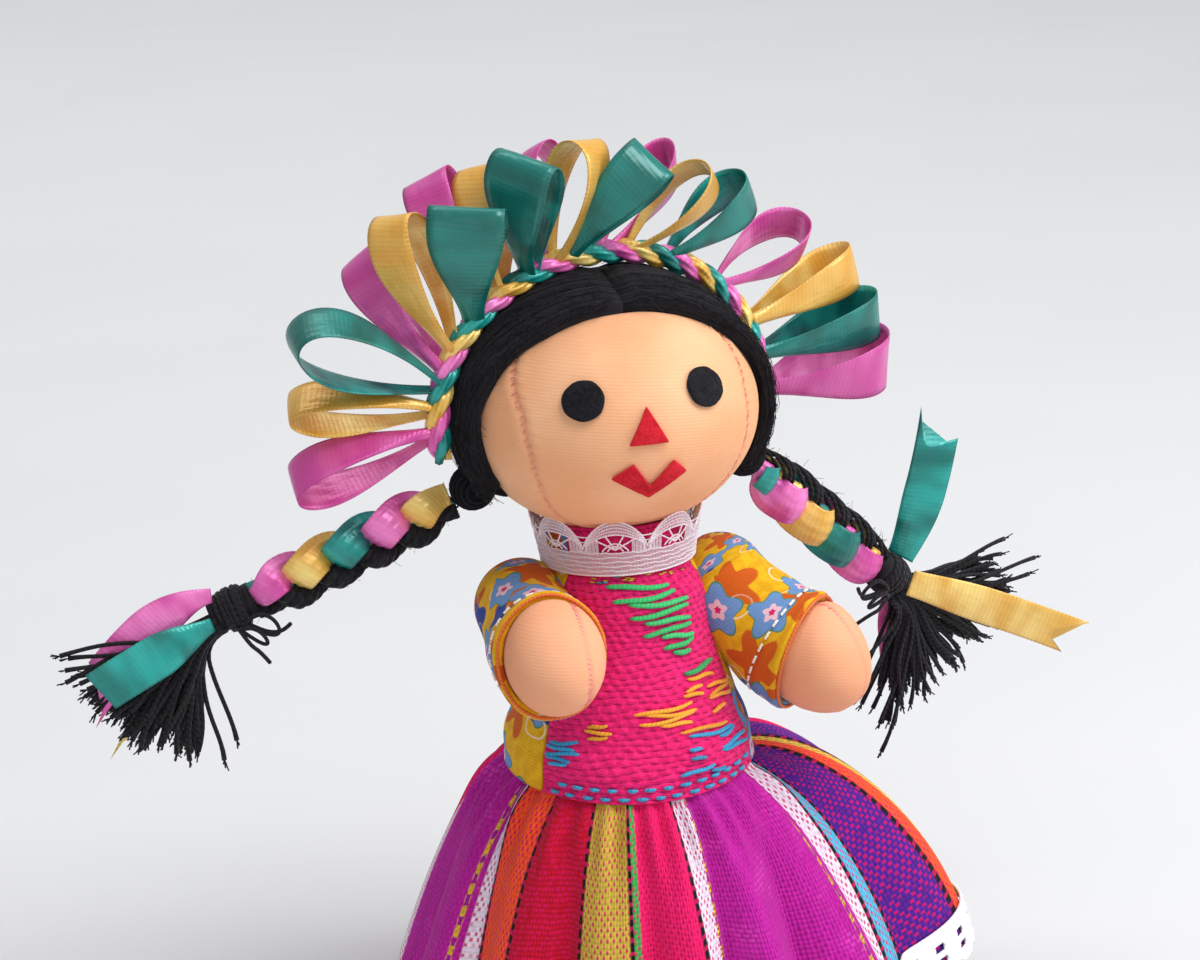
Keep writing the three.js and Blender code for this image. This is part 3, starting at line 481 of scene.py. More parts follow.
def printFinish():
    # printed cotton on mm UVs: leafy orange blotches, five-petal blue flowers and white curls on yellow
    f = Finish("floralPrint", Roughness=0.85, Sheen_Weight=0.06, Specular_IOR_Level=0.18)
    u, v = f.flat()
    cloth = f.point(u, v)
    wander = f.noise(cloth, 0.55, 2.0)
    grain = f.noise(cloth, 9.0, 3.0)

    def flower(cells, shift, petals, plump):
        # distance from the middle of each scattered flower, as a share of its petal edge
        at = f.point(u / cells + shift, v / cells + shift * 0.7)
        where = {"voronoi_dimensions": "2D", "feature": "F1"}
        node = {"Vector": at, "Scale": 1.0, "Randomness": 0.75}
        middle = f.add("ShaderNodeTexVoronoi", where, node, "Position")
        pick = f.split(f.add("ShaderNodeTexVoronoi", where, node, "Color"))
        dx, dy, _ = f.split(f.add("ShaderNodeVectorMath", {"operation": "SUBTRACT"}, {0: at, 1: middle}))
        reach = (dx * dx + dy * dy) ** 0.5
        angle = dy.by("ARCTAN2", dy, dx) + pick[1] * tau
        spin = angle * petals
        edge = 1 - plump * (spin.by("COSINE", spin) * -0.5 + 0.5)
        return reach / edge, pick, angle

    base = f.mix(wander.rise(0.35, 0.65), "EDB91C", "E0A412")
    leaf, leafPick, _ = flower(11.0, 3.3, 5, 0.5)
    leafMask = (leaf + grain * 0.14 - 0.07).rise(0.46, 0.43) * (leafPick[0] > 0.2)
    base = f.mix(leafMask, base, f.mix(grain.rise(0.35, 0.6), "BE4510", "D9691A"))
    dark, darkPick, _ = flower(13.0, 7.9, 3, 0.5)
    base = f.mix((dark + grain * 0.12).rise(0.33, 0.30) * (darkPick[0] > 0.45), base, "28409A")
    bloom, bloomPick, _ = flower(12.0, 0.4, 5, 0.34)
    show = bloomPick[0] > 0.3
    halo = bloom.rise(0.36, 0.345) * show
    base = f.mix(halo, base, "4E8A63")
    petal = bloom.rise(0.335, 0.32) * show
    base = f.mix(petal, base, f.mix(grain.rise(0.3, 0.7), "4A7FC4", "86A9D6"))
    base = f.mix(bloom.rise(0.14, 0.125) * show, base, "EBC3CF")
    base = f.mix(bloom.rise(0.055, 0.045) * show, base, "D2226A")
    curl, curlPick, curlAngle = flower(7.5, 5.2, 2, 0.2)
    ring = ((curl - 0.27 - curlAngle.sine(6.0) * 0.05).size()).rise(0.026, 0.012)
    ring = ring * (curlPick[2] > 0.35) * (grain > 0.42) * (1 - petal) * (1 - leafMask * 0.6)
    base = f.mix(ring * 0.8, base, "F6EEDC")
    weft = (v + u * 0.15).wave(0.42)
    f.feed(Base_Color=f.shade(1.03 - 0.1 * weft - 0.06 * grain, base))
    f.bump(weft * 0.7 + grain * 0.4, 0.05)
    return f


def stripeFinish():
    # coarse weave in the dye of each stripe: every thread and crossing has its own shade, each row is painted
    # darker at its edges as shade, and pink weft shows as uneven flecks; UV in mm. tint: 0.3 few flecks, 0.5
    # flecks, 0.75 black dashes, 1 metal dashes
    f = Finish("stripedWeave", Roughness=0.9, Sheen_Weight=0.04, Specular_IOR_Level=0.14)
    u, v = f.flat()
    kind = f.value()
    fuzz = f.noise(f.place(), 1500.0, 4.0)
    waver = f.noise(f.point(u, v), 0.3, 2.0)
    row = v / 0.76 + waver
    odd = (row.whole() * 0.5).part()
    thread = u / 1.06 + odd
    cell = thread.part()
    across = (row.part() - 0.5).size() * 2
    lot = f.lot(thread.whole(), row.whole())
    warp = f.lot((u / 0.53).whole(), 3.0)
    fleck = (cell - 0.5).size().rise(0.28, 0.16) * across.rise(0.85, 0.45) * lot.rise(0.0, 0.4)
    isMetal = kind > 0.9
    isBlack = (kind > 0.65) * (1 - isMetal)
    plain = (1 - isMetal) * (1 - isBlack)
    # painted shade: each row is darker towards its edges, where it meets the next
    base = f.shade(0.66 + 0.22 * fuzz + 0.18 * lot + 0.16 * warp + 0.2 * (1 - across), f.colour())
    pale = fleck * plain * (kind < 0.4)
    patch = f.noise(f.point(u, v), 0.12, 2.0).rise(0.5, 0.66)
    base = f.mix(pale * (0.34 + 0.02 * patch), base, f.mix(patch, "6E0C62", "E86CCB"))
    base = f.mix(fleck * plain * (kind > 0.4) * 0.85, base, "CE1260")
    dash = (v / 1.7 + waver).part()
    gap = (dash - 0.5).size().rise(0.28, 0.34)
    base = f.mix(gap * isBlack, base, "B8184F")
    spark = (v / 3.1 + waver).part()
    metalOn = (spark - 0.5).size().rise(0.3, 0.24) * isMetal
    base = f.mix(isMetal * (1 - metalOn), base, "A01A98")
    f.feed(Base_Color=base)
    f.feed(Metallic=metalOn * 0.85, Roughness=0.9 - 0.6 * metalOn)
    strand = u.wave(0.53)
    f.bump((1 - across) * 0.6 + strand * 0.5 + fuzz * 0.4 + metalOn * 0.5 + fleck * 0.3, 0.17)
    return f


# each ribbon: the light and the deep tone of its painted sheen bands, and the tone of painted shade on its
# inner face
ribbonTones = {
    "pink": ("F884CC", "DA4EA6", "C63A92"),
    "yellow": ("FCDC80", "E9B248", "E4A23C"),
    "teal": ("1FA9A0", "07706A", "085E54"),
}
skin = clothFinish("peachCotton", "FAC196", "F2AE80")
# a darker copy of the peach cotton for the hands: painted shade
shadedHandSkin = clothFinish("shadedHandCotton", "F3B089", "EB9F75")
yarn = yarnFinish("blackYarn", "25232A", "09080B")
combedYarn = combedFinish("combedYarn", "2A282D", "121114")
feltBlack = feltFinish("blackFelt", "26242A", "0E0D11")
feltRed = feltFinish("redFelt", "DE2A38", "C01626")
slipperFelt = feltFinish("slipperFelt", "3A3438", "1C191C")
satin = {name: satinFinish(name + "Satin", *ribbonTones[name]) for name in ribbonNames}
floss = threadFinish("cottonFloss")
lurex = threadFinish("lurexThread", 0.3, 0.9)
brocade = brocadeFinish()
floral = printFinish()
striped = stripeFinish()
laceWhite = threadFinish("laceThread", 0.75)
print("finishes made")

# camera, light and floor
shot = {
    "toward": (-0.25, -0.933, 0.259),
    "roll": 3.2,
    "distance": 0.5,
    "width": 0.168,
    "centre": (0, 0, 94.0),
    "shift": (-1.97, -10.26),
}
toward = unit(np.array(shot["toward"]))
right = unit(np.cross((0, 0, 1), toward))
upward = np.cross(toward, right)
aim = np.array(shot["centre"]) + shot["shift"][0] * right + shot["shift"][1] * upward
axes = [turned(right, toward, -shot["roll"]), turned(upward, toward, -shot["roll"]), toward]
lens = bpy.data.cameras.new("camera")
lens.sensor_width = 36.0
lens.lens = 36.0 * shot["distance"] / shot["width"]
lens.clip_start = 0.01
camera = bpy.data.objects.new("camera", lens)
camera.matrix_world = framed(axes, aim * 0.001 + toward * shot["distance"])
scene.collection.objects.link(camera)
scene.camera = camera
scene.view_settings.view_transform = "Standard"

# name: (place in m, aim in m, size in m, watts)
lampPlan = {
    "softTop": ((0.25, -0.3, 0.75), (0, 0, 0.08), 0.5, 4.0),
    "softFront": ((-0.35, -0.75, 0.35), (0, 0, 0.08), 0.8, 0.7),
    "softSide": ((0.65, -0.3, 0.4), (0, 0, 0.08), 0.4, 2.3),
    "wallWash": ((0.0, 0.7, 1.5), (0, 1.9, 0.5), 1.4, 14.0),
}
for name, (place, target, size, watts) in lampPlan.items():
    lamp = bpy.data.lights.new(name, "AREA")
    lamp.shape = "DISK"
    lamp.size = size
    lamp.energy = watts
    holder = bpy.data.objects.new(name, lamp)
    back = unit(np.array(place) - np.array(target))
    sideways = unit(np.cross((0, 0, 1), back))
    holder.matrix_world = framed((sideways, np.cross(back, sideways), back), place)
    scene.collection.objects.link(holder)
world = bpy.data.worlds.new("softRoom")
scene.world = world
world.use_nodes = True
world.node_tree.nodes["Background"].inputs["Color"].default_value = (0.96, 0.98, 1.0, 1.0)
world.node_tree.nodes["Background"].inputs["Strength"].default_value = 0.47

# the floor runs back and curls up into the wall: a straight run, a quarter turn, a straight rise
floorPlan = {"near": -2500, "far": 1500, "bend": 700, "rise": 1500, "half": 3000}
bendAngle = np.linspace(0, np.pi / 2, 16)
profileY = np.concatenate([[floorPlan["near"]], floorPlan["far"] + floorPlan["bend"] * np.sin(bendAngle)])
profileZ = np.concatenate([[0], floorPlan["bend"] * (1 - np.cos(bendAngle))])
profileY = np.append(profileY, profileY[-1])
profileZ = np.append(profileZ, floorPlan["rise"])
wide = np.linspace(-floorPlan["half"], floorPlan["half"], 9)
paper = Finish("palePaper", Roughness=0.9, Specular_IOR_Level=0.1)
paperSpot = paper.noise(paper.place(), 9.0, 3.0)
paper.feed(Base_Color=paper.mix(paperSpot.rise(0.3, 0.7), "DADBDD", "DDDDDE"))
floor = piece("floor", [shell(vec(wide[None], profileY[:, None], profileZ[:, None]))], paper, None)
print("camera, light and floor set")

# head
headPlan = {
    "radius": 20.8,
    "halfHeight": 16.8,
    "height": 94.0,
    # sewn seams: latitudes, azimuths in degrees
    "seamLat": (-90, -60, -38, -21, -6.5, 11.5, 23, 40, 90),
    "seamRight": (-46, -47, -48.5, -47, -47.5, -51, -58, -66, -66),
    "seamLeft": (44, 45, 47, 49, 50, 51, 56, 62, 62),
    "depth": 0.24,
    "pucker": 0.07,
    "rows": 170,
    "columns": 360,
    "stitches": 30,
}
headCentre = np.array((0, 0, headPlan["height"]))


def onHead(azimuth, latitude, over):
    # the ellipsoid of the head, lifted along its normal
    a, l = np.radians(azimuth), np.radians(latitude)
    flat, tall = headPlan["radius"], headPlan["halfHeight"]
    spot = vec(flat * np.cos(l) * np.sin(a), -flat * np.cos(l) * np.cos(a), tall * np.sin(l))
    normal = unit(vec(np.cos(l) * np.sin(a) / flat, -np.cos(l) * np.cos(a) / flat, np.sin(l) / tall))
    return headCentre + spot + normal * np.asarray(over, float)[..., None]


latitude = np.linspace(-89.3, 89.3, headPlan["rows"])[:, None]
azimuth = np.arange(headPlan["columns"])[None] - 180.0
over = np.zeros((headPlan["rows"], headPlan["columns"]))
seamTint = np.full(over.shape, 0.3)
count = headPlan["stitches"]
stitches = []
for seamName in ("seamRight", "seamLeft"):
    seamAt = np.interp(latitude, headPlan["seamLat"], headPlan[seamName])
    away = np.radians(azimuth - seamAt) * headPlan["radius"] * np.cos(np.radians(latitude))
    down = np.radians(latitude) * 18.0
    # the seam pulls in a groove and the cloth beside it gathers into short puckers
    groove = bell(away, 0.5)
    beside = bell(away, 1.7)
    over -= headPlan["depth"] * groove
    over += headPlan["pucker"] * beside * np.sin(tau * (down + 0.35 * np.abs(away)) / 1.7)
    over += 0.1 * bell(np.abs(away) - 1.5, 1.1)
    seamTint = np.maximum(seamTint, 0.5 + 0.3 * groove + 0.12 * beside)
    rows = np.linspace(-52, 50, count) + draw.uniform(-0.8, 0.8, count)
    place = np.interp(rows, headPlan["seamLat"], headPlan[seamName])
    reach = draw.uniform(0.5, 2.0, count)
    t = np.linspace(-1, 1, 6)[None]
    lat = rows[:, None] + t * draw.uniform(0.6, 1.6, count)[:, None]
    az = place[:, None] + t * reach[:, None]
    line = onHead(az, lat, -0.16 + 0.2 * (1 - t * t))
    stitches.append(tubes(line, 0.075, 5, finish=1, dye=tone("E59880")))
# broad softness of the filling: three low waves over the ball
l = np.radians(latitude)
over += 0.18 * np.sin(np.radians(3 * azimuth + 40)) * np.cos(l) * np.sin(2 * l)
skull = shell(onHead(azimuth, latitude, over), around=True, caps=True, tint=seamTint)
head = piece("head_cloth", [skull] + stitches, [skin, floss], "head", ["head"], "skin")

feltPlan = {
    "thick": 0.7,
    "eye": {"radius": (2.9, 3.3), "azimuth": 25.5, "latitude": 19.4},
    "nose": {
        "corners": ((-2.7, -3.1), (2.7, -3.1), (0.0, 3.1)),
        "middle": (0, -1.0),
        "azimuth": -1.5,
        "latitude": 6.8,
    },
    "mouth": {
        "corners": ((-5.2, 0), (0, -4.4), (5.2, 0.1), (3.3, 2.3), (0.2, -2.3), (-2.2, 2.35)),
        "middle": (0, -3.0),
        "azimuth": -1.2,
        "latitude": -17.2,
    },
}


def feltPatch(outline, middle, azimuth, latitude):
    # cut felt: rings from the middle of the outline to its edge, over a soft rim and back underneath
    share = np.array((0.02, 0.35, 0.7, 0.88, 0.95, 0.985, 1.0, 1.0, 0.97, 0.5, 0.02))[:, None, None]
    lift = np.array((1.0, 1.0, 1.0, 0.99, 0.95, 0.86, 0.66, 0.2, 0.02, 0.0, 0.0))[:, None] * feltPlan["thick"]
    flat = np.asarray(middle) + (outline[None] - np.asarray(middle)) * share
    x, y = flat[..., 0], flat[..., 1]
    rough = 0.05 * np.sin(37 * x + 11 * y) * np.sin(29 * y - 7 * x)
    turn = np.degrees(x / (headPlan["radius"] * np.cos(np.radians(latitude))))
    rise = np.degrees(y / headPlan["radius"])
    points = onHead(azimuth + turn, latitude + rise, 0.12 + lift + rough * (lift > 0.3))
    return shell(points, around=True, caps=True, flip=True)


def cutEdge(corners, pieces):
    # points along a cut outline, its corners barely rounded
    c = np.array(corners, float)
    t = np.linspace(0, 1, pieces, endpoint=False)[:, None]
    edge = np.concatenate([lerp(a, b, t) for a, b in zip(c, np.roll(c, -1, 0))])
    return 0.8 * edge + 0.1 * np.roll(edge, 1, 0) + 0.1 * np.roll(edge, -1, 0)


ringAngle = np.linspace(0, tau, 72, endpoint=False)
eye = feltPlan["eye"]
for name, sign in sides:
    wobble = 1 + 0.012 * np.sin(3 * ringAngle + sign) + 0.01 * np.sin(7 * ringAngle)
    disc = pairs(wobble * np.cos(ringAngle), wobble * np.sin(ringAngle)) * eye["radius"]
    patch = feltPatch(disc, (0, 0), sign * eye["azimuth"], eye["latitude"])
    piece("felt_eye_" + name, [patch], feltBlack, "head", ["eye_" + name], "felt_black")
for name in ("nose", "mouth"):
    plan = feltPlan[name]
    patch = feltPatch(cutEdge(plan["corners"], 16), plan["middle"], plan["azimuth"], plan["latitude"])
    piece("felt_" + name, [patch], feltRed, "head", [name], "felt_red")
print("head made")

# the crown: its size and seat, which the hair below it needs too
crownPlan = {
    "strand": 0.9,
    "twist": 0.8,
    "pitch": 10.0,
    "turn": 12.0,  # the whole crown sits turned to the doll's left
    "back": 2.5,
    "end": -11.0,
    "halfWidth": 25.5,
    "halfHeight": 21.5,
    "pinch": 0.3,
}
crownBack = turned(backwards, upright, crownPlan["turn"])

# hair
hairPlan = {
    "lift": 0.5,
    "thick": 2.0,
    "strands": 780,
    "strand": 0.17,
    "rim": 90,  # strands that lie along the hairline
    "strays": 190,
    "fuzz": 1800,
    "knot": 3.2,
    "gather": (97.0, -30.0),
    "front": 64.0,
    "nape": -36.0,
    "faceHalf": 74.0,
    "faceMiddle": -8.0,
    "underBand": 0.9,  # how much the mass swells under the crown
}
knotSpot = onHead(hairPlan["gather"][0], hairPlan["gather"][1], hairPlan["lift"] + hairPlan["thick"])


def hairEdge(latitude):
    # azimuth where the hair starts: a rounded-off oval round the face
    share = np.abs(latitude - hairPlan["faceMiddle"]) / (hairPlan["front"] - hairPlan["faceMiddle"])
    return hairPlan["faceHalf"] * np.maximum(0, 1 - share**2.4) ** (1 / 2.4)


def wayTo(azimuth, latitude):
    # direction from the middle of the head, on a round ball
    a, l = np.radians(azimuth), np.radians(latitude)
    return vec(np.cos(l) * np.sin(a), -np.cos(l) * np.cos(a), np.sin(l))


# the hairline from the parting down the temple, below the ear and back to the knot, by its length
lineLat = np.linspace(hairPlan["front"], -27, 90)
lineWay = wayTo(np.append(hairEdge(lineLat), (76, 83, 90, 97)), np.append(lineLat, (-31, -33, -32, -30)))
lineRun = walked(lineWay)


def combed(place, share):
    # a lock laid from the parting to the knot: the shortest way round the head, and nearer to the front
    # more and more along the hairline
    phi = np.radians(lerp(hairPlan["front"], 180 - hairPlan["nape"], place))
    first = vec(0 * phi, -np.cos(phi), np.sin(phi))
    last = wayTo(*hairPlan["gather"])
    arc = np.arccos(np.clip((first * last).sum(-1), -1, 1))
    straight = (np.sin((1 - share) * arc) / np.sin(arc))[..., None] * first
    straight = straight + (np.sin(share * arc) / np.sin(arc))[..., None] * last
    edge = np.stack([np.interp(share * lineRun[-1], lineRun, lineWay[:, k]) for k in range(3)], -1)
    way = unit(lerp(edge, straight, ease(place / 0.42)[..., None]))
    az = np.degrees(np.arctan2(way[..., 0], -way[..., 1]))
    return az, np.degrees(np.arcsin(np.clip(way[..., 2], -1, 1)))


def swollen(az, lat, sign):
    # extra height where the crown is bound on: a ridge along its line over the upper half
    spot = (onHead(az, lat, 0) - headCentre) * np.array((sign, 1, 1))
    off = (spot * crownBack).sum(-1) - crownPlan["back"]
    return hairPlan["underBand"] * bell(off, 4.5) * ease(spot[..., 2] / 12)


for name, sign in sides:
    mirror = np.array((sign, 1, 1))
    # base: the laid mass behind the hairline to the middle of the back, thin at its edge
    lat = np.linspace(hairPlan["nape"], 88, 48)[:, None]
    t = np.linspace(0, 1, 40)[None]
    edgeAt = hairEdge(lat) + 5
    az = lerp(edgeAt, 180.0, t**1.3)
    run = np.radians(az - edgeAt) * 20
    mass = hairPlan["lift"] + (hairPlan["thick"] - 0.75) * np.clip(run / 2.5, 0, 1) ** 0.5
    mass = mass + swollen(az, lat, sign)
    mass = mass * np.clip((lat - hairPlan["nape"] + 3) / 8, 0.2, 1)
    outer = onHead(az, lat, mass)
    inner = onHead(az, lat, 0.12)
    ringed = np.concatenate([outer, inner[:, ::-1]], 1) * mirror
    base = shell(ringed, around=True, caps=True, flip=sign < 0, tint=0.1)
    # strands in the order of the parting, a few layers deep; the first ones roll over the hairline
    count, rim = hairPlan["strands"], hairPlan["rim"]
    spot = np.sort(draw.uniform(0, 1, count)) ** 1.25
    spot[:rim] = np.linspace(0, 0.035, rim)
    spot = spot[:, None]
    t = np.linspace(0, 0.985, 20)[None]
    az, lat = combed(np.broadcast_to(spot, (count, 20)), np.broadcast_to(t, (count, 20)))
    sway = np.sin(t * draw.uniform(8, 26, (count, 1)) + draw.uniform(0, tau, (count, 1)))
    az = az + 0.9 * sway * np.sin(np.pi * t)
    layer = draw.uniform(-0.1, 0.2, (count, 1))
    layer[:rim, 0] = draw.uniform(-0.15, 0.1, rim)
    height = hairPlan["lift"] + hairPlan["thick"] - 0.45 + layer - 0.8 * np.exp(-t / 0.025)
    height = lerp(0.2, height, np.sqrt(np.clip(spot / 0.035, 0, 1))) + swollen(az, lat, sign)
    laid = onHead(az, lat, np.maximum(height, 0.15)) * mirror
    bundle = knotSpot * mirror + draw.normal(0, 0.9, (count, 1, 3))
    laid = lerp(laid, bundle, ease((t - 0.86) / 0.13)[..., None])
    shade = draw.uniform(0.0, 1.0, (count, 1, 1))
    locks = tubes(laid, hairPlan["strand"] * (1 - 0.15 * t), 4, start=(0.3, 0.2, 1), tint=shade)
    # the gathered knot at the root of the plait
    phi = np.linspace(-88, 88, 16)[:, None]
    spin = np.linspace(0, 360, 24, endpoint=False)[None]
    p, s = np.radians(phi), np.radians(spin)
    ball = vec(np.cos(p) * np.sin(s), -np.cos(p) * np.cos(s), np.sin(p)) * (hairPlan["knot"] - 0.2)
    ball = ball * (1 + 0.05 * np.sin(6 * s + 3 * p))[..., None] + knotSpot * mirror
    knot = shell(ball, around=True, caps=True, tint=0.15)
    # yarn wound round the knot
    turns = np.linspace(0, 9, 200)
    lap, spin = np.radians(lerp(-70, 70, turns / 9)), tau * turns
    winding = vec(np.cos(lap) * np.cos(spin), np.sin(lap), np.cos(lap) * np.sin(spin))
    wound = tubes(knotSpot * mirror + winding * (hairPlan["knot"] - 0.1), 0.24, 5, tint=0.5)
    # stray fibres standing off the mass
    few = hairPlan["strays"]
    t = np.linspace(0, 1, 8)[None]
    place = draw.uniform(0.0, 0.85, (few, 1)) ** 1.6
    go = 0.05 + 0.75 * draw.uniform(0, 1, (few, 1)) + draw.uniform(0.06, 0.16, (few, 1)) * t
    az, lat = combed(np.broadcast_to(place, go.shape), go)
    az = az + draw.normal(0, 2.5, (few, 1)) * t
    stand = hairPlan["lift"] + hairPlan["thick"] * np.clip(place / 0.05, 0.2, 1) - 0.2
    stand = stand + swollen(az, lat, sign) + draw.uniform(0.2, 0.8, (few, 1)) * np.sin(np.pi * t * 0.8)
    strays = tubes(onHead(az, lat, stand) * mirror, 0.035, 3, start=(0.3, 0.2, 1), tint=0.9)
    # fuzz: short curled fibres in every direction over the whole mass
    few = hairPlan["fuzz"]
    t = np.linspace(0, 1, 5)[None]
    place = draw.uniform(0, 0.9, (few, 1)) ** 1.5
    go = draw.uniform(0.02, 0.9, (few, 1)) + 0.02 * t
    az, lat = combed(np.broadcast_to(place, go.shape), go)
    az = az + draw.normal(0, 3.0, (few, 1)) * t
    lat = lat + draw.normal(0, 2.5, (few, 1)) * t + draw.normal(0, 1.2, (few, 1)) * t * t
    stand = hairPlan["lift"] + hairPlan["thick"] * np.sqrt(np.clip(place / 0.035, 0, 1)) - 0.25
    stand = np.maximum(0.2, stand) + swollen(az, lat, sign)
    stand = stand + draw.uniform(0.05, 0.4, (few, 1)) * np.sin(np.pi * t * 0.7)
    shade = draw.uniform(0.2, 1, (few, 1, 1))
    fuzz = tubes(onHead(az, lat, stand) * mirror, 0.045, 3, start=(0.3, 0.2, 1), tint=shade)
    made = [base, locks, knot, wound, strays, fuzz]
    piece("hair_" + name + "_yarn", made, combedYarn, "head", ["hair_" + name], "yarn")
print("hair laid")

# one entry for each loop from the doll's right to its left, angles in degrees and lengths in mm:
# seat on the band, way it fans out, lean backwards, turn about its own line
loopPlan = {
    "seat": (180.4, 172, 163.5, 158, 150.4, 137.9, 133.1, 124.9, 113.3, 110.7, 104, 99, 86.9, 78.1, 63.4,
             41.6, 21.7, 8.5, -4.8),
    "fan": (198.3, 174.5, 153.9, 113, 112, 99.3, 97.1, 86.7, 99.2, 68.3, 76, 54, 30.5, 38.6, 29.7,
            17.3, 15, 8.5, 4),
    "lean": (21.6, 20.4, 1.2, 29.3, -0.8, -18.4, 31.1, 17.6, -20.8, 26.7, -12, -24, 28.7, -9.1, 3.8,
             13, 8.6, 2, 2.4),
    "turn": (-26.7, -28.4, -22, 39.2, 31.2, 54.2, 45.8, 28.9, 25.1, -2.9, 120, 52, 115.6, 129.2, 107.7,
             125.4, 91.3, 100, 106),
    "width": (6.6, 6.2, 6.8, 6.8, 6.6, 10.6, 7.2, 6.8, 9.8, 5.6, 6.6, 7.6, 5.6, 5.6, 6.4, 5.8, 6.8, 7.2, 8.8),
    "reach": (21.2, 20.4, 23.2, 20.3, 21.7, 18.2, 20.8, 18, 18.8, 18.9, 18, 18.9, 22.9, 16.3, 16.4, 18.2, 21,
              21.2, 22),
    "spread": (4.2, 3.4, 5.6, 4.8, 4.8, 3.4, 4.4, 4.8, 3.8, 3.6, 4.2, 4.2, 3.8, 4, 4.2, 4.6, 3.8, 4.2, 5.8),
}


def onBand(degrees):
    # the line of the band: an upright ellipse over the head, turned with the crown
    a = np.radians(degrees)
    spot = vec(crownPlan["halfWidth"] * np.cos(a), crownPlan["back"], crownPlan["halfHeight"] * np.sin(a))
    return headCentre + turned(spot, upright, crownPlan["turn"])


def bandOut(degrees):
    # square to that ellipse, outward
    a = np.radians(degrees)
    out = unit(vec(np.cos(a) / crownPlan["halfWidth"], 0 * a, np.sin(a) / crownPlan["halfHeight"]))
    return turned(out, upright, crownPlan["turn"])


def ribbonPiece(node, made, colour, body):
    # satin in its own colour, standing for the CAD node of that name
    piece(node + "_ribbon", [made], satin[colour], body, [node], "satin_" + colour)


steps = 260
bandAngle = np.linspace(crownPlan["end"], 180 - crownPlan["end"], steps)
bandLength = np.radians(180 - 2 * crownPlan["end"]) * (crownPlan["halfWidth"] + crownPlan["halfHeight"]) / 2
for k, name in enumerate(ribbonNames):
    # three ribbons wound round each other: a helix about the band's line, each drawn into folds
    wind = tau * (bandLength / crownPlan["pitch"] * np.linspace(0, 1, steps) + k / 3)
    line = onBand(bandAngle) + crownPlan["twist"] * (
        bandOut(bandAngle) * np.cos(wind)[:, None] + crownBack * np.sin(wind)[:, None]
    )
    fromEnd = np.minimum(np.linspace(0, 30, steps), np.linspace(30, 0, steps))
    taper = crownPlan["strand"] * (0.6 + 0.4 * ease(fromEnd))
    strand = tubes(line, taper, 28, lobes=(5, 0.13, 0.3), tint=1.0)
    ribbonPiece("crown_band_" + name, strand, name, "head")

for i, seat in enumerate(loopPlan["seat"]):
    # a strip that leaves the band, opens into a drop and comes back: out by 1 - cos, aside by sin
    name = ribbonNames[i % 3]
    lean, fan = np.radians(loopPlan["lean"][i]), np.radians(loopPlan["fan"][i])
    out = turned(vec(np.cos(fan), 0, np.sin(fan)), upright, crownPlan["turn"])
    along = out * np.cos(lean) + crownBack * np.sin(lean)
    acrossBand = unit(np.cross(along, np.cross(out, crownBack)))
    width = turned(acrossBand, along, loopPlan["turn"][i])
    spread = unit(np.cross(width, along))
    base = onBand(seat) + along * 0.9
    turn = np.pi * np.linspace(0.1, 1.9, 61)
    reach = (np.cos(0.1 * np.pi) - np.cos(turn)) / 2
    aside = loopPlan["spread"][i] * np.sin(turn) * np.sin(turn / 2) ** 1.2
    apart = np.sign(np.pi - turn) * 0.42 * (1 - reach)
    line = base + along * ((loopPlan["reach"][i] - 0.9) / 0.9755 * reach)[:, None]
    line = line + spread * (aside + apart)[:, None]
    wide = loopPlan["width"][i] * lerp(crownPlan["pinch"], 1, ease(reach / 0.85))
    sway = 6 * np.sin(turn) + 3 * np.sin(2 * turn + i)
    direction = turned(np.broadcast_to(width, line.shape), along, sway)
    cup = -0.5 * (1 - ease(reach / 0.55)) + 0.12 * np.sin(3 * turn + i)
    loop = ribbons(line, direction, wide, 0.26, cup)
    ribbonPiece(f"crown_loop_{i + 1:02d}_{name}", loop, name, "head")
print("crown made")

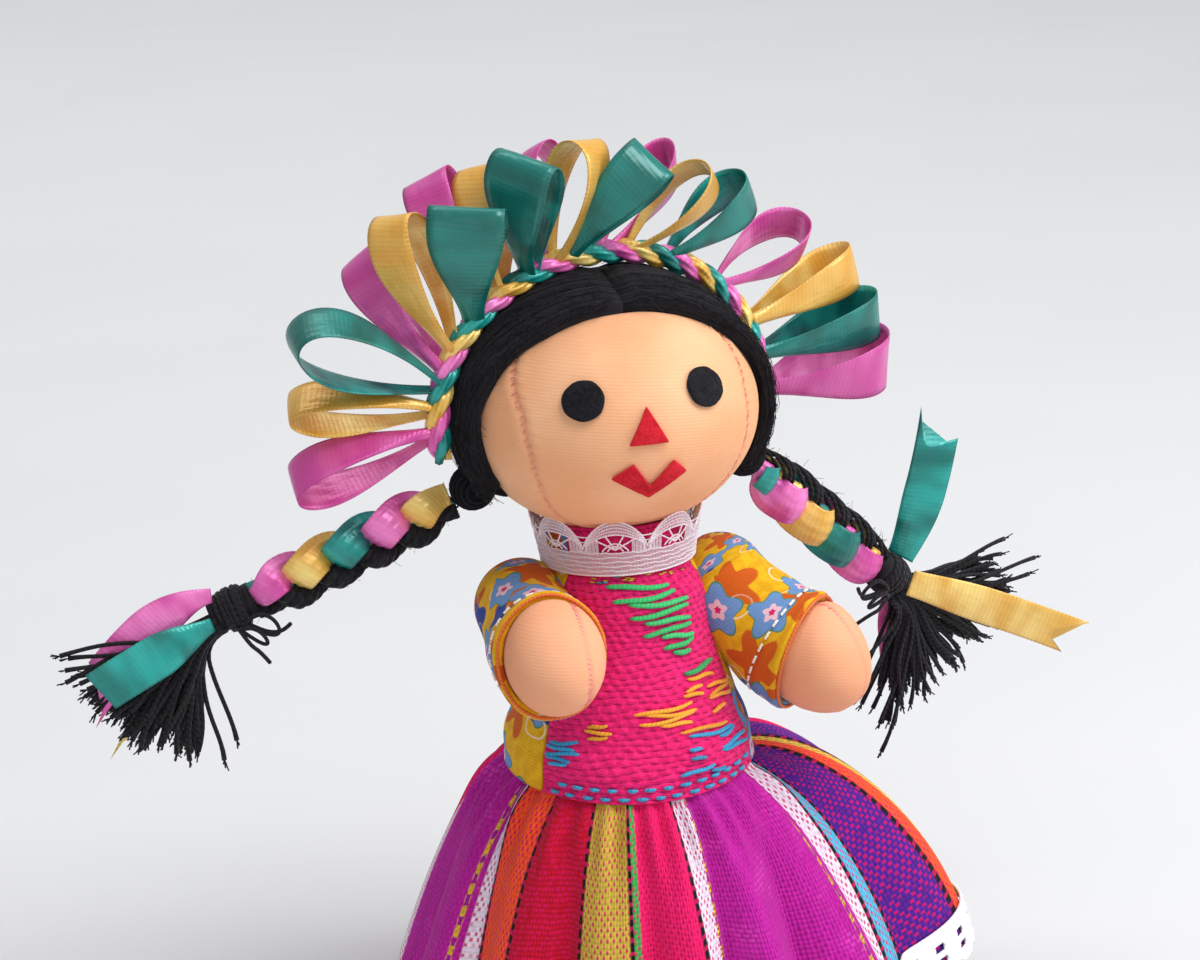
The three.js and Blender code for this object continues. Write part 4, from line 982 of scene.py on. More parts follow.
# plaits
plaitPlan = {
    "start": 3.5,
    "length": 31.2,
    "halfWidth": 1.8,
    "halfDepth": 1.35,
    "pitch": {"left": 20.5, "right": 18.6},
    "lag": {"left": -10.2, "right": 3.15},
    # the side on which the ribbons lie uppermost (-1 below, 1 above), and the way they follow each other
    "show": {"left": -1.0, "right": 1.0},
    "order": {"left": -1, "right": 1},
    "ribbon": {"left": (2.6, 6.0), "right": (2.2, 5.2)},
    "lean": {"left": 12.0, "right": 14.0},
    "cup": {"left": 0.75, "right": 0.4},
    "yarnLock": {"left": 0.27, "right": 0.62},
    "setBack": {"left": 19.0, "right": 9.0},
    "droop": {"left": 44.0, "right": 23.5},
    "tieStart": 35.6,
    "tieLength": 4.0,
    "tieRadius": 3.0,
    "tasselStart": 39.9,
    "tasselLength": 21.5,
    "tasselStrands": 165,
    "tasselStrand": 0.32,
    # degrees from the line of the plait: lowest, highest; then the loose ones with their length
    "tasselFan": {"left": (-64, 46), "right": (-60, 4)},
    "tasselLoose": {
        "left": ((-62, 1.25), (-84, 0.8), (-92, 0.62), (40, 1.02), (47, 1.05), (52, 0.95), (-70, 0.95)),
        "right": (
            (17, 1.05), (15, 1.0), (13, 1.06), (11, 0.98), (9.5, 1.04), (8, 0.97), (-70, 0.98), (-74, 0.85),
        ),
    },
    # free ends: three points of the curve, turn about its length, cut as (place across, where it stops)
    "tails": {
        "left": {
            "teal": (
                ((0.4, -1.2, 4.1), (4.6, -2.4, 12), (7.6, -1.6, 26)),
                -29,
                ((-1, 0.86), (0.3, 0.79), (0.62, 0.82), (1, 1)),
            ),
            "yellow": (
                ((1.4, -2.6, 0.2), (13, -3.6, -4.4), (28, -3.4, -12)),
                6,
                ((-1, 0.96), (-0.2, 0.83), (1, 1)),
            ),
            "pink": (((1, 3.6, -1.5), (3, 8, -9), (4, 10, -18)), 0, ((-1, 1), (0, 0.84), (1, 1))),
        },
        "right": {
            "pink": (
                ((1, -1.2, 3.4), (9.5, -1.2, 3.2), (21, 0.4, -12)),
                4,
                ((-1, 0.8), (0.2, 0.84), (0.75, 0.9), (1, 1)),
            ),
            "teal": (
                ((1.4, -2.6, -0.4), (9, -4.6, -2.8), (18.5, -4.8, -7.5)),
                0,
                ((-1, 1), (0.2, 0.97), (1, 0.95)),
            ),
            "yellow": (
                ((1, 3.2, -1.5), (6, 6.4, -10), (13.5, 7, -23)),
                0,
                ((-1, 1), (-0.55, 0.72), (1, 0.62)),
            ),
        },
    },
    "tailWidth": 6.2,
    "pinch": {"left": 0.66, "right": 0.34},  # share of the width at the tie
}

for name, sign in sides:
    body = "plait_" + name
    own = {key: value[name] for key, value in plaitPlan.items() if isinstance(value, dict)}
    root = knotSpot * np.array((sign, 1, 1))
    droop, setBack = sign * own["droop"], sign * own["setBack"]

    def hung(points):
        # from the plait's own line to the doll: turned back, drooped, set at the knot
        points = turned(np.asarray(points, float), upright, setBack)
        return turned(points, backwards, droop) + root

    u = np.linspace(0, plaitPlan["length"], 130)
    share = u / plaitPlan["length"]
    full = lerp(0.62, 1, ease(np.minimum(share, 1 - share) * 6))
    show = own["show"]
    fibre = np.linspace(0, 2, 5)[None, :, None]
    for k, colour in enumerate(ribbonNames):
        # each lock swings from side to side once a pitch and over and under twice, a third apart;
        # its ribbon lies flat over it on the side where it shows, facing outward, and is drawn into pleats
        # where the lock dives; its yarn bulges on the other side
        turns = (u - own["lag"]) / own["pitch"]
        phase = tau * (turns + own["order"] * k / 3)
        out = ease(0.5 + 0.68 * show * np.sin(phase))
        swing = full * plaitPlan["halfWidth"] * np.sin(phase)
        depth = full * (plaitPlan["halfDepth"] * np.sin(2 * phase) - 0.4 - 0.8 * out)
        line = vec(sign * (plaitPlan["start"] + u), depth, swing)
        narrow, wide = own["ribbon"]
        lean = np.radians(own["lean"] * show * np.sin(phase))
        facing = vec(0 * u, -np.cos(lean), show * np.sin(lean))
        bare = ease(0.5 + 1.2 * show * np.sin(phase))
        laid = line + vec(0 * u, 0.8 * out - 1.3 * bare + 0.8 * (1 - bare), 0 * u)
        laid, above = hung(laid), hung(laid + facing) - hung(laid)
        across = np.cross(above, unit(np.gradient(laid, axis=0)))
        width = full * lerp(narrow, wide, bare)
        pleats = (1.9, full * lerp(0.2, 0.03, bare))
        cup = full * lerp(0.2, own["cup"], bare)
        satinLock = ribbons(laid, across, width, 0.3, cup, 21, pleats)
        strands = []
        for q in range(6):
            wind = tau * (u / 8 + q / 6)
            circle = vec(0, np.cos(wind), np.sin(wind)) * (full * (0.35 + 0.75 * (1 - out)))[:, None]
            strands.append(hung(line + vec(0, 0.5 + 0.6 * out, -show * 0.9 * (1 - out)) + circle))
        wool = own["yarnLock"] * full * (0.75 + 0.5 * (1 - out))
        black = tubes(np.array(strands), wool, 6, finish=1, tint=draw.uniform(0.1, 0.9, (6, 1, 1)))
        # loose fibres standing off the yarn
        core = np.array(strands)[draw.integers(0, 6, 400), draw.integers(0, 130, 400)]
        stray = draw.normal(0, 0.22, (400, 1, 3)) * fibre + draw.normal(0, 0.12, (400, 1, 3)) * fibre * fibre
        fluff = tubes(core[:, None] + stray, 0.03, 3, start=(0.2, 0.9, 0.3), finish=1, tint=0.6)
        node = f"plait_{name}_{colour}"
        made = [satinLock, black, fluff]
        piece(node + "_lock", made, [satin[colour], yarn], body, [node], "satin_" + colour)

    # yarn wound round the end: a barrel under close turns, with loose loops and ends
    first, long = plaitPlan["tieStart"], plaitPlan["tieLength"]
    turns = np.linspace(0, 8.5, 210)
    along = lerp(first + 0.2, first + long - 0.2, turns / 8.5) + 0.25 * np.sin(tau * turns * 0.37)
    bulge = plaitPlan["tieRadius"] - 0.35 + 0.3 * np.sin(np.pi * turns / 8.5)
    spin = tau * turns
    coil = hung(vec(sign * along, bulge * np.cos(spin), bulge * np.sin(spin)))
    coil = tubes(coil, 0.36, 6, tint=0.5)
    t = np.linspace(0, 1, 12)
    core = tubes(hung(vec(sign * (first - 1.2 + 6.4 * t), 0 * t, 0 * t)), 2.5 + 0 * t, 14, tint=0.2)
    spin = np.linspace(0, 1, 30)
    bow = np.sin(np.pi * spin)
    turnOver = np.sin(tau * spin)
    loose = [
        vec(sign * (first + 1.5 - 4.2 * bow), -2.8 - 0.6 * bow, -1.8 - 2.2 * bow - 1.7 * turnOver),
        vec(sign * (first + 2.2 - 2.6 * bow), -2.9 - 0.8 * bow, -2.4 - 2.6 * bow + 1.2 * turnOver),
        vec(sign * (first + 1.0 - 5.5 * spin), -2.6 - 1.2 * spin, -2.0 - 2.5 * spin - 1.5 * bow),
        vec(sign * (first + 2.4 - 1.5 * spin), -2.8 - 0.8 * bow, -2.2 - 6.5 * spin - 0.5 * turnOver),
    ]
    loose = tubes(hung(np.array(loose)), 0.3, 6, tint=0.6)
    piece("plait_tie_" + name + "_yarn", [coil, core, loose], yarn, body, ["plait_tie_" + name], "yarn")

    # tassel: each yarn end leaves the tie along the plait, bends to its own angle and stops at its own length
    count = plaitPlan["tasselStrands"]
    lowest, highest = own["tasselFan"]
    share = draw.beta(1.25, 1.25, count)
    clump = (share * 15 + draw.uniform(-0.3, 0.3, count)).astype(int)
    angle = lerp(lowest, highest, lerp(share, (clump + 0.5) / 15, 0.35)) + draw.normal(0, 2.2, 20)[clump]
    reach = draw.uniform(0.9, 1.03, count) * draw.uniform(0.84, 1.02, 20)[clump]
    single = np.array(own["tasselLoose"], float)
    angle = np.append(angle, single[:, 0])
    reach = np.append(reach, single[:, 1])
    count = len(angle)
    a = np.linspace(0, 1, 18)[None]
    kink = draw.normal(0, 2.5, (count, 1)) * np.sin(3 * np.pi * a)
    heading = np.radians(angle[:, None] * ease(a / 0.4) + kink)
    sway = np.sin(a * draw.uniform(3, 7, (count, 1)) + draw.uniform(0, tau, (count, 1)))
    heading = heading + 0.25 * sway * a
    pace = plaitPlan["tasselLength"] * reach[:, None] / 17
    x = (np.cos(heading) * pace).cumsum(1) - 1.2
    z = (np.sin(heading) * pace).cumsum(1) + 1.9 * (angle / 62)[:, None]
    deep = draw.uniform(-1, 1, (count, 1))
    deep[-len(single) : -2] = -1.1
    strand = vec(sign * (plaitPlan["tasselStart"] + x), deep * (1.9 + 1.6 * a) - 0.3, z)
    shade = draw.uniform(0.05, 0.9, (count, 1, 1))
    ends = tubes(hung(strand), plaitPlan["tasselStrand"] * (1 + 0.2 * ease((a - 0.88) / 0.12)), 6, tint=shade)
    tip, before = strand[:, -1], strand[:, -2]
    # a few plies open at each end
    t = np.linspace(0, 1, 4)[None, None, :, None]
    fray = unit(tip - before)[:, None] + draw.normal(0, 0.22, (count, 5, 3))
    fray = tip[:, None, None] + fray[:, :, None] * t * draw.uniform(0.4, 1.3, (count, 5, 1, 1))
    frays = tubes(hung(fray.reshape(-1, 4, 3)), 0.11, 4, start=(0.2, 0.9, 0.3), tint=0.7)
    piece("plait_tassel_" + name + "_yarn", [ends, frays], yarn, body, ["plait_tassel_" + name], "yarn")

    # free ribbon ends: a curve through three points; each column of the strip stops where its cut says
    tieEnd = hung(np.array((sign * plaitPlan["tasselStart"], 0, 0)))
    for colour, (path, turn, cut) in own["tails"].items():
        p0, p1, p2 = (np.array(p) * np.array((sign, 1, 1)) for p in path)
        t = np.linspace(0, 1, 40)[:, None]
        line = tieEnd + (1 - t) ** 2 * p0 + 2 * t * (1 - t) * p1 + t * t * p2
        tangent = unit(np.gradient(line, axis=0))
        facing = turned(unit(np.cross(tangent, backwards)), tangent, turn + 14 * np.sin(2.2 * t[:, 0]))
        wide = plaitPlan["tailWidth"] * lerp(own["pinch"], 1, ease(1.9 * t[:, 0]) ** 0.8)
        cup = 0.35 * np.sin(3 * t[:, 0]) + 0.15 * np.sin(7 * t[:, 0])
        grid = ribbons(line, facing, wide, 0.26, cup, 13)["points"].reshape(40, 26, 3)
        c = np.concatenate([np.linspace(1, -1, 13), np.linspace(-1, 1, 13)])
        stop = 39 * np.interp(c, *zip(*cut))
        at = np.linspace(0, 1, 40)[:, None] * stop
        low = np.minimum(at.astype(int), 38)
        grid = lerp(grid[low, np.arange(26)], grid[low + 1, np.arange(26)], (at - low)[..., None])
        run = np.concatenate([at, at[:, :1]], 1) / 39 * walked(line)[-1]
        uv = pairs(run, np.append(c, 1) / 2 + 0.5)
        # the second face has tint 0, which the satin paints in shade
        tail = shell(grid, uv, around=True, caps=True, tint=np.repeat((1.0, 0.0), 13))
        ribbonPiece(f"ribbon_tail_{name}_{colour}", tail, colour, body)
print("plaits made")

# torso and blouse
bodyPlan = {
    "waist": 46.0,
    "shoulder": 67.0,
    "neck": 78.0,
    "waistRadius": 15.2,
    "chestRadius": 11.2,
    "neckRadius": 6.0,
    "hipDepth": 11.0,
    "panelHalf": 59.0,
    "hemDip": 4.0,
    "blouseTop": 79.0,
}


def torsoRadius(height):
    # rounded seat, full waist, narrower chest, neck
    below = np.clip((bodyPlan["waist"] - height) / bodyPlan["hipDepth"], 0, 1)
    seat = bodyPlan["waistRadius"] * np.sqrt(1 - below * below)
    trunk = lerp(bodyPlan["waistRadius"], bodyPlan["chestRadius"], ease((height - bodyPlan["waist"]) / 21))
    chest = lerp(bodyPlan["chestRadius"], bodyPlan["neckRadius"], ease((height - bodyPlan["shoulder"]) / 11))
    return np.where(height < bodyPlan["waist"], seat, np.where(height < bodyPlan["shoulder"], trunk, chest))


def onCircle(radius, degrees, height):
    # a ring round the doll's axis, counted from the front towards its left
    a = np.radians(degrees)
    return vec(radius * np.sin(a), -radius * np.cos(a), height)


def seamHeight(degrees):
    # the waist seam: highest behind, dipping to the front by a cosine
    return bodyPlan["waist"] - bodyPlan["hemDip"] * (1 + np.cos(np.radians(degrees))) / 2


def onBlouse(degrees, height, over):
    # the torso with room for the tucked skirt at the waist, straight up inside the collar
    low = seamHeight(degrees) - 0.8
    tuck = 1 - ease((height - low - 3) / 6)
    radius = np.maximum(torsoRadius(np.maximum(height, bodyPlan["waist"])) + 0.5 + 1.3 * tuck, 9.4)
    return onCircle(radius + over, degrees, height)


height = np.linspace(35.05, bodyPlan["neck"], 60)[:, None]
degrees = np.arange(0, 360, 5.0)[None]
plump = 0.15 * np.sin(np.radians(3 * degrees)) * np.sin(height * 0.3)
trunk = shell(onCircle(torsoRadius(height) + plump - 0.05, degrees, height), around=True, caps=True, tint=0.4)
torso = piece("torso_cloth", [trunk], skin, "torso", ["torso"], "skin")


def blousePanel(first, last, columns, rows, ridge):
    # outside up, over the neck edge and down inside: one closed strip of cloth
    az = np.linspace(first, last, columns)[None]
    t = np.linspace(0, 1, rows)[:, None]
    low = seamHeight(az) - 0.8
    high = lerp(low, bodyPlan["blouseTop"], t)
    above = high - 40 + 0.2 * np.sin(az * 0.1 + high * 0.8) + 0.1 * np.sin(az * 0.33 - high * 1.6)
    row = above / weavePitch
    stitch = np.sin(tau * (az * 0.144 + 0.37 * np.floor(row) + 0.3 * (row % 1)))
    ridges = ridge * (np.abs(np.sin(np.pi * above / weavePitch)) * (1 + 0.25 * stitch) - 0.5)
    crease = 0.16 * np.sin(np.radians(az * 5) + high * 0.5) * bell(high - 47, 5)
    hem = 0.25 * bell(high - low, 0.7)
    outer = onBlouse(az, high, 0.7 + ridges + crease + hem)
    inner = onBlouse(az, high, 0.05)
    arc = np.radians(az) * 14
    uv = pairs(arc, above)
    ring = np.concatenate([outer, inner[::-1]]).swapaxes(0, 1)
    uv = np.concatenate([uv, uv[::-1], uv[:1]]).swapaxes(0, 1)
    return shell(ring, uv, around=True, caps=True, flip=True)


half = bodyPlan["panelHalf"]
panel = blousePanel(-half, half, 130, 250, 0.11)
front = piece("blouse_front_cloth", [panel], brocade, "torso", ["blouse_front"], "brocade")
panel = blousePanel(half + 1, 359 - half, 130, 60, 0.0)
back = piece("blouse_back_cloth", [panel], floral, "torso", ["blouse_back"], "print")
print("blouse made")

# floating threads of the brocade: (azimuth from, azimuth to, height, threads, dye)
floatPlan = {
    "step": 0.8,
    "green": 0.45,  # half thicknesses of the threads
    "other": 0.35,
    "slant": 0.55,
    "rows": [
        (-24, 23, 70.6, 1, "32BE6C"), (-22, 24, 69.1, 1, "2DB866"), (-9, 35, 68.1, 1, "38C472"),
        (-9, 34, 66.8, 1, "2FB865"), (-1, 34, 65.5, 1, "38C472"), (-1, 35, 64.2, 1, "2DB866"),
        (10, 34, 63.1, 1, "38C472"), (10, 33, 61.9, 1, "2FB865"), (18, 27, 60.8, 1, "2DA860"),
        (22, 45, 58.0, 1, "219A54"), (22, 44, 56.8, 1, "E89A1C"), (19, 31, 55.6, 2, "EDA01E"),
        (35, 57, 54.9, 3, "DE9222"), (-11, 23, 53.6, 1, "F0A61E"), (-7, 23, 52.9, 1, "EDA01E"),
        (-10, 22, 52.2, 1, "F2AC28"), (2, 19, 51.5, 1, "EDA01E"), (35, 47, 51.8, 1, "DE9222"),
        (13, 45, 49.9, 1, "E89A1C"), (-36, -25, 52.0, 3, "E09A1C"), (16, 46, 49.0, 1, "2293C4"),
        (34, 48, 48.3, 1, "1F86B6"), (14, 21, 47.6, 1, "2A95C6"), (35, 56, 47.0, 2, "2293C4"),
        (14, 21, 46.4, 1, "2A7FA8"), (9, 27, 44.7, 1, "2293C4"), (26, 33, 44.0, 1, "1F86B6"),
        (-57, -41, 49.4, 1, "1F86B6"), (-57, -43, 48.7, 1, "2A95C6"), (-56, -40, 48.0, 1, "2293C4"),
        (-57, -44, 47.3, 1, "1F86B6"), (-56, -45, 46.6, 1, "2293C4"), (-56, -44, 62.0, 2, "E09A1C"),
        (-55, -42, 66.5, 2, "1F86B6"),
    ],
}
floats = []
for number, (first, last, high, rows, dye) in enumerate(floatPlan["rows"]):
    for k in range(rows):
        # a thread that slants the other way in each row, bends like a long S and is thin where it dives in
        t = np.linspace(0, 1, 28)
        a = lerp(first + draw.uniform(-2, 1), last + draw.uniform(-1, 2), t)
        tint = np.minimum(tone(dye) * draw.uniform(0.88, 1.1), 1)
        slant = floatPlan["slant"] * (1 if (number + k) % 2 else -1)
        swing = np.minimum(1, (last - first) / 20)
        bow = np.sin(np.pi * t) ** 0.22
        h = high - k * floatPlan["step"] + swing * (slant * (t - 0.5) + 0.14 * np.sin(tau * t + number))
        thick = floatPlan["green" if high > 57.5 else "other"] * (0.2 + 0.8 * bow)
        line = onBlouse(a, h, 0.62 + 0.34 * bow)
        floats.append(tubes(line, thick, 10, 0.85, upright, (2, 0.05, 0.5), dye=tint))
# two rows of blue running stitches along the lower edge, and glints of metal thread under the collar
for row, drop in enumerate((0.7, 2.0)):
    for a in np.arange(-54, 52, 8.2) + 4.1 * row:
        t = np.linspace(0, 1, 8)
        az = a + draw.uniform(-0.6, 0.6) + draw.uniform(4.2, 5.6) * t
        bow = np.sin(np.pi * t) ** 0.6
        line = onBlouse(az, seamHeight(az) - 0.8 + drop, 0.8 + 0.3 * bow)
        floats.append(tubes(line, 0.3 * (0.4 + 0.6 * bow), 6, start=upright, dye=tone("2A93C4")))
glints = []
for k in range(26):
    a = draw.uniform(-42, 42)
    h = 71.9 + draw.uniform(-0.5, 0.6)
    t = np.linspace(0, 1, 5)
    dye = tone(("D9B33C", "D9B33C", "3FA6C8")[k % 3])
    line = onBlouse(a + 4 * t, h + 0 * t, 0.8 + 0.2 * np.sin(np.pi * t))
    glints.append(tubes(line, 0.14, 5, start=upright, dye=dye, finish=1))
threads = piece("blouse_front_floats", floats + glints, [floss, lurex], "torso", (), "brocade")
print("brocade floats laid")

# lace collar
collarPlan = {
    "low": 72.4,
    "high": 80.0,
    "lowRadius": 10.9,
    "highRadius": 12.2,
    "scallops": 8,
    "turn": -39.5,  # azimuth where the first scallop starts
    "foot": 4.0,
    "rise": 4.2,
    "step": 0.5,
    "bridge": 5.9,
    "cords": (0.1, 0.75, 1.4, 2.05, 2.75, 3.45),
    "net": 0.055,
}


def onCollar(share, up, over=0.0):
    # share runs round the neck in scallops, up from the seam to the edge in mm
    rise = np.asarray(up, float) / (collarPlan["high"] - collarPlan["low"])
    ripple = 0.18 * np.sin(tau * np.asarray(share, float) * 1.5) * rise
    radius = lerp(collarPlan["lowRadius"], collarPlan["highRadius"], rise) + ripple + over
    degrees = np.asarray(share, float) * 360 / collarPlan["scallops"] + collarPlan["turn"]
    return onCircle(radius, degrees, collarPlan["low"] + up)


def arch(share, k):
    # line k of the arch over a scallop, the outermost first: a flattened half wave
    hill = np.sin(np.pi * np.clip(share, 0, 1)) ** 0.7
    return collarPlan["foot"] + (collarPlan["rise"] - collarPlan["step"] * k) * hill


lace = []


def laceThread(share, up, radius, over=0.0):
    # threads along lines on the collar, one for each row of share
    line = onCollar(share, up, over)
    lace.append(tubes(line, radius, 5, start=(0, 0.05, 1), dye=tone("F5E4EE")))


number = np.arange(collarPlan["scallops"])[:, None]
around = np.linspace(0, collarPlan["scallops"], 481)
for k, up in enumerate(collarPlan["cords"]):
    wave = 0.09 * np.sin(tau * around * 2.5 + 1.9 * k) + 0.05 * np.sin(tau * around * 7 + k)
    laceThread(around, up + wave * (k > 0), 0.13 if k == 0 else 0.095, 0.04)
for k, thick in enumerate((0.13, 0.085, 0.085, 0.085, 0.12)):
    s = np.linspace(0.012 * k, 1 - 0.012 * k, 49)[None]
    laceThread(number + s, arch(s, k), thick, 0.06)
# bars across the arch, and the threads that fan out under it
bars = np.linspace(0.04, 0.96, 38)
place = (number + bars[None]).reshape(-1, 1)
t = np.linspace(0, 1, 4)[None]
foot = np.tile(arch(bars, 4), collarPlan["scallops"])[:, None]
top = np.tile(arch(bars, 0), collarPlan["scallops"])[:, None]
laceThread(place + 0 * t, lerp(foot, top, t), collarPlan["net"])
t = np.linspace(0, 1, 9)[None]
for spoke in (0.2, 0.36, 0.64, 0.8):
    laceThread(number + lerp(0.5, spoke, t), lerp(collarPlan["foot"] - 0.1, arch(spoke, 4), t), 0.12, 0.03)
for wide, tall in ((0.12, 0.75), (0.2, 1.15)):
    s = np.linspace(0.5 - wide, 0.5 + wide, 25)[None]
    hill = np.maximum(0, np.sin(np.pi * (s - 0.5 + wide) / (2 * wide))) ** 0.8
    up = collarPlan["foot"] - 0.3 + tall * hill
    laceThread(number + s, up, 0.11, 0.03)
# the feet of two arches meet in a V, and a thin bridge hangs between the hills
for side in (-1, 1):
    laceThread(number + side * 0.11 * t, lerp(3.4, 5.2, t), 0.1, 0.03)
s = np.linspace(-0.115, 0.115, 13)[None]
laceThread(number + s, collarPlan["bridge"] - 6 * (0.0132 - s * s), 0.1, 0.03)
laceThread(number + s * 0.7, collarPlan["bridge"] - 0.75 - 6 * (0.0132 - s * s), 0.075, 0.03)
# net: threads that zigzag up in pairs between the cords, and beside the fan up to the arch
count = 144
base = (np.arange(count) * collarPlan["scallops"] / count)[:, None]
t = np.linspace(0, 1, 21)[None]
for lean in (-1, 1):
    zigzag = lean * 0.45 * collarPlan["scallops"] / count * np.cos(np.pi * 10 * t)
    laceThread(base + zigzag, 0.08 + 3.4 * t, collarPlan["net"])
    inCell = base[:, 0] % 1.0
    fromMiddle = np.abs(inCell - 0.5)
    beside = (fromMiddle > 0.26) & (fromMiddle < 0.47)
    laceThread((base + zigzag)[beside], lerp(3.45, arch(inCell[beside], 4)[:, None], t), collarPlan["net"])
collar = piece("lace_collar_threads", lace, laceWhite, "torso", ["lace_collar"], "lace")
print("collar made")

# sleeves and arms
armPlan = {
    "shoulder": (14.6, -1.0, 67.0),
    "ball": 6.8,
    "cuff": (7.8, 8.8),
    "cuffPlace": 0.62,
    "hand": (6.8, 8.0),
    "curve": ((0, 0), (7, -6.3), (14, -11), (23, -7.5)),
    "turnOut": {"left": 44.0, "right": 1.0},
    "raise": {"left": -4.0, "right": 21.0},
    "seam": {"left": -0.2, "right": 3.2},
}


def armCurve(place):
    # the bent line of the arm, forward and up, and its direction
    p = [np.array(k, float) for k in armPlan["curve"]]
    s = place[:, None]
    spot = (1 - s) ** 3 * p[0] + 3 * s * (1 - s) ** 2 * p[1] + 3 * s * s * (1 - s) * p[2] + s**3 * p[3]
    pace = 3 * ((1 - s) ** 2 * (p[1] - p[0]) + 2 * s * (1 - s) * (p[2] - p[1]) + s * s * (p[3] - p[2]))
    zero = 0 * place
    return vec(zero, -spot[:, 0], spot[:, 1]), unit(vec(zero, -pace[:, 0], pace[:, 1]))


def sleeveHalf(place, inset):
    # half width and half height of the sleeve, eased from the shoulder ball to the cuff
    grow = ease(place / armPlan["cuffPlace"])
    return [lerp(armPlan["ball"], k, grow) - inset for k in armPlan["cuff"]]


def armGrid(place, halfWidth, halfHeight, columns):
    # rings square to the arm's line; before the line starts they close in as a ball round the shoulder
    spot, pace = armCurve(np.maximum(place, 0))
    behind = np.minimum(place, 0)
    start = pace[np.argmin(np.abs(place))]
    spot = spot + start * (behind * armPlan["ball"])[:, None]
    shrink = np.sqrt(np.maximum(0.0025, 1 - behind * behind))
    up = np.cross(pace, leftward)
    angle = np.arange(columns) * tau / columns
    halfWidth, halfHeight = (np.broadcast_to(k, place.shape) * shrink for k in (halfWidth, halfHeight))
    ring = vec(np.cos(angle), 0, 0)[None] * halfWidth[:, None, None]
    return spot[:, None] + ring + up[:, None] * (np.sin(angle) * halfHeight[:, None])[..., None], angle


for name, sign in sides:
    body = "arm_" + name

    def posed(points):
        # from the arm's own frame to the doll: raised, turned out, set at the shoulder
        points = turned(points, leftward, -armPlan["raise"][name])
        points = turned(points, upright, sign * armPlan["turnOut"][name])
        return points + np.array(armPlan["shoulder"]) * np.array((sign, 1, 1))

    # sleeve: outside from the shoulder to the cuff, over its rolled edge and back up the inside
    columns = 72
    shoulder = np.linspace(-0.93, 0, 14, endpoint=False)
    place = np.concatenate([shoulder, np.linspace(0, armPlan["cuffPlace"], 56)])
    width, tallness = sleeveHalf(np.maximum(place, 0), 0)
    outer, angle = armGrid(place, width, tallness, columns)
    middle = outer.mean(1, keepdims=True)
    run = np.clip(place, 0, 1)[:, None] / armPlan["cuffPlace"]
    rumple = 0.028 * np.sin(3 * angle + 9 * run + sign) * np.sin(np.pi * np.clip(run, 0, 1))
    rumple = rumple + 0.03 * bell(run - 0.97, 0.05) + 0.012 * np.sin(5 * angle) * run**3
    rumple = rumple - 0.03 * bell(run - 0.76, 0.03)
    outer = middle + (outer - middle) * (1 + rumple)[..., None]
    innerPlace = np.linspace(armPlan["cuffPlace"] - 0.004, 0.3, 16)
    width, tallness = sleeveHalf(innerPlace, 1.15)
    inner, _ = armGrid(innerPlace, width, tallness, columns)
    rim = lerp(outer[-1:], inner[:1], np.array((0.3, 0.7))[:, None, None])
    rim = rim + armCurve(np.array([armPlan["cuffPlace"]]))[1] * np.array((0.32, 0.3))[:, None, None]
    grid = np.concatenate([outer, rim, inner])
    length = np.concatenate([place * 26, [17, 17.4], 17.5 + (armPlan["cuffPlace"] - innerPlace) * 26])
    v = np.broadcast_to(np.append(angle, tau) * 7.6, (len(grid), columns + 1))
    uv = np.stack([v + 40 * (sign > 0), np.broadcast_to(length[:, None], v.shape)], -1)
    cloth = shell(posed(grid), uv, around=True, flip=True)
    # topstitching: dashes round the sleeve a little above the cuff
    dashes = []
    for k in range(26):
        a = tau * (k + np.linspace(0.12, 0.72, 6)) / 26
        near = np.full(6, armPlan["cuffPlace"] * 0.76)
        width, tallness = sleeveHalf(near, -0.06)
        spot, pace = armCurve(near)
        up = np.cross(pace, leftward)
        dashes.append(spot + vec(width * np.cos(a), 0, 0) + up * (tallness * np.sin(a))[:, None])
    sewn = tubes(posed(np.array(dashes)), 0.2, 6, start=(0.3, 0.5, 0.8), finish=1, dye=tone("F3EFE4"))
    # orange binding on the edge of the cuff
    edge = np.concatenate([rim[0], rim[0, :2]]) + armCurve(np.array([armPlan["cuffPlace"]]))[1] * 0.12
    bound = tubes(posed(edge), 0.24, 7, start=(0.3, 0.5, 0.8), finish=1, dye=tone("DB6A1E"))
    made = [cloth, sewn, bound]
    piece("sleeve_" + name + "_cloth", made, [floral, floss], body, ["sleeve_" + name], "print")

    # arm: fills the sleeve and swells into a mitten with a rounded end and one side seam
    shoulder = np.linspace(-0.95, 0, 10, endpoint=False)
    place = np.concatenate([shoulder, np.linspace(0, 0.62, 20), np.linspace(0.64, 1, 60)])
    share = np.clip((place - armPlan["cuffPlace"]) / (1 - armPlan["cuffPlace"]), 0, 1)
    dome = np.sqrt(np.maximum(0.0008, 1 - (np.maximum(0, share - 0.3) / 0.7) ** 2.5))
    swell = ease(share * 4)
    width, tallness = sleeveHalf(np.clip(place, 0, armPlan["cuffPlace"]), 1.25)
    width = lerp(width, armPlan["hand"][0], swell) * dome
    tallness = lerp(tallness, armPlan["hand"][1], swell) * dome
    grid, angle = armGrid(place, width, tallness, 96)
    # the seam follows a plane along the hand: a shallow groove, tinted, with small puckers beside it
    seamAt = armPlan["seam"][name]
    away = grid[..., 0] - seamAt
    onHand = ease((place - 0.58) / 0.06)[:, None]
    pull = 0.032 * bell(away, 0.45) * onHand
    run = walked(grid[:, 24])[:, None]
    ripple = 0.007 * bell(away, 1.5) * np.sin(tau * run / 1.3) * onHand
    middle = grid.mean(1, keepdims=True)
    grid = middle + (grid - middle) * (1 - pull + ripple)[..., None]
    tint = 0.42 + (0.34 * bell(away, 0.6) + 0.16 * bell(away, 1.6)) * onHand
    mitten = shell(posed(grid), around=True, caps=True, flip=True, tint=tint)
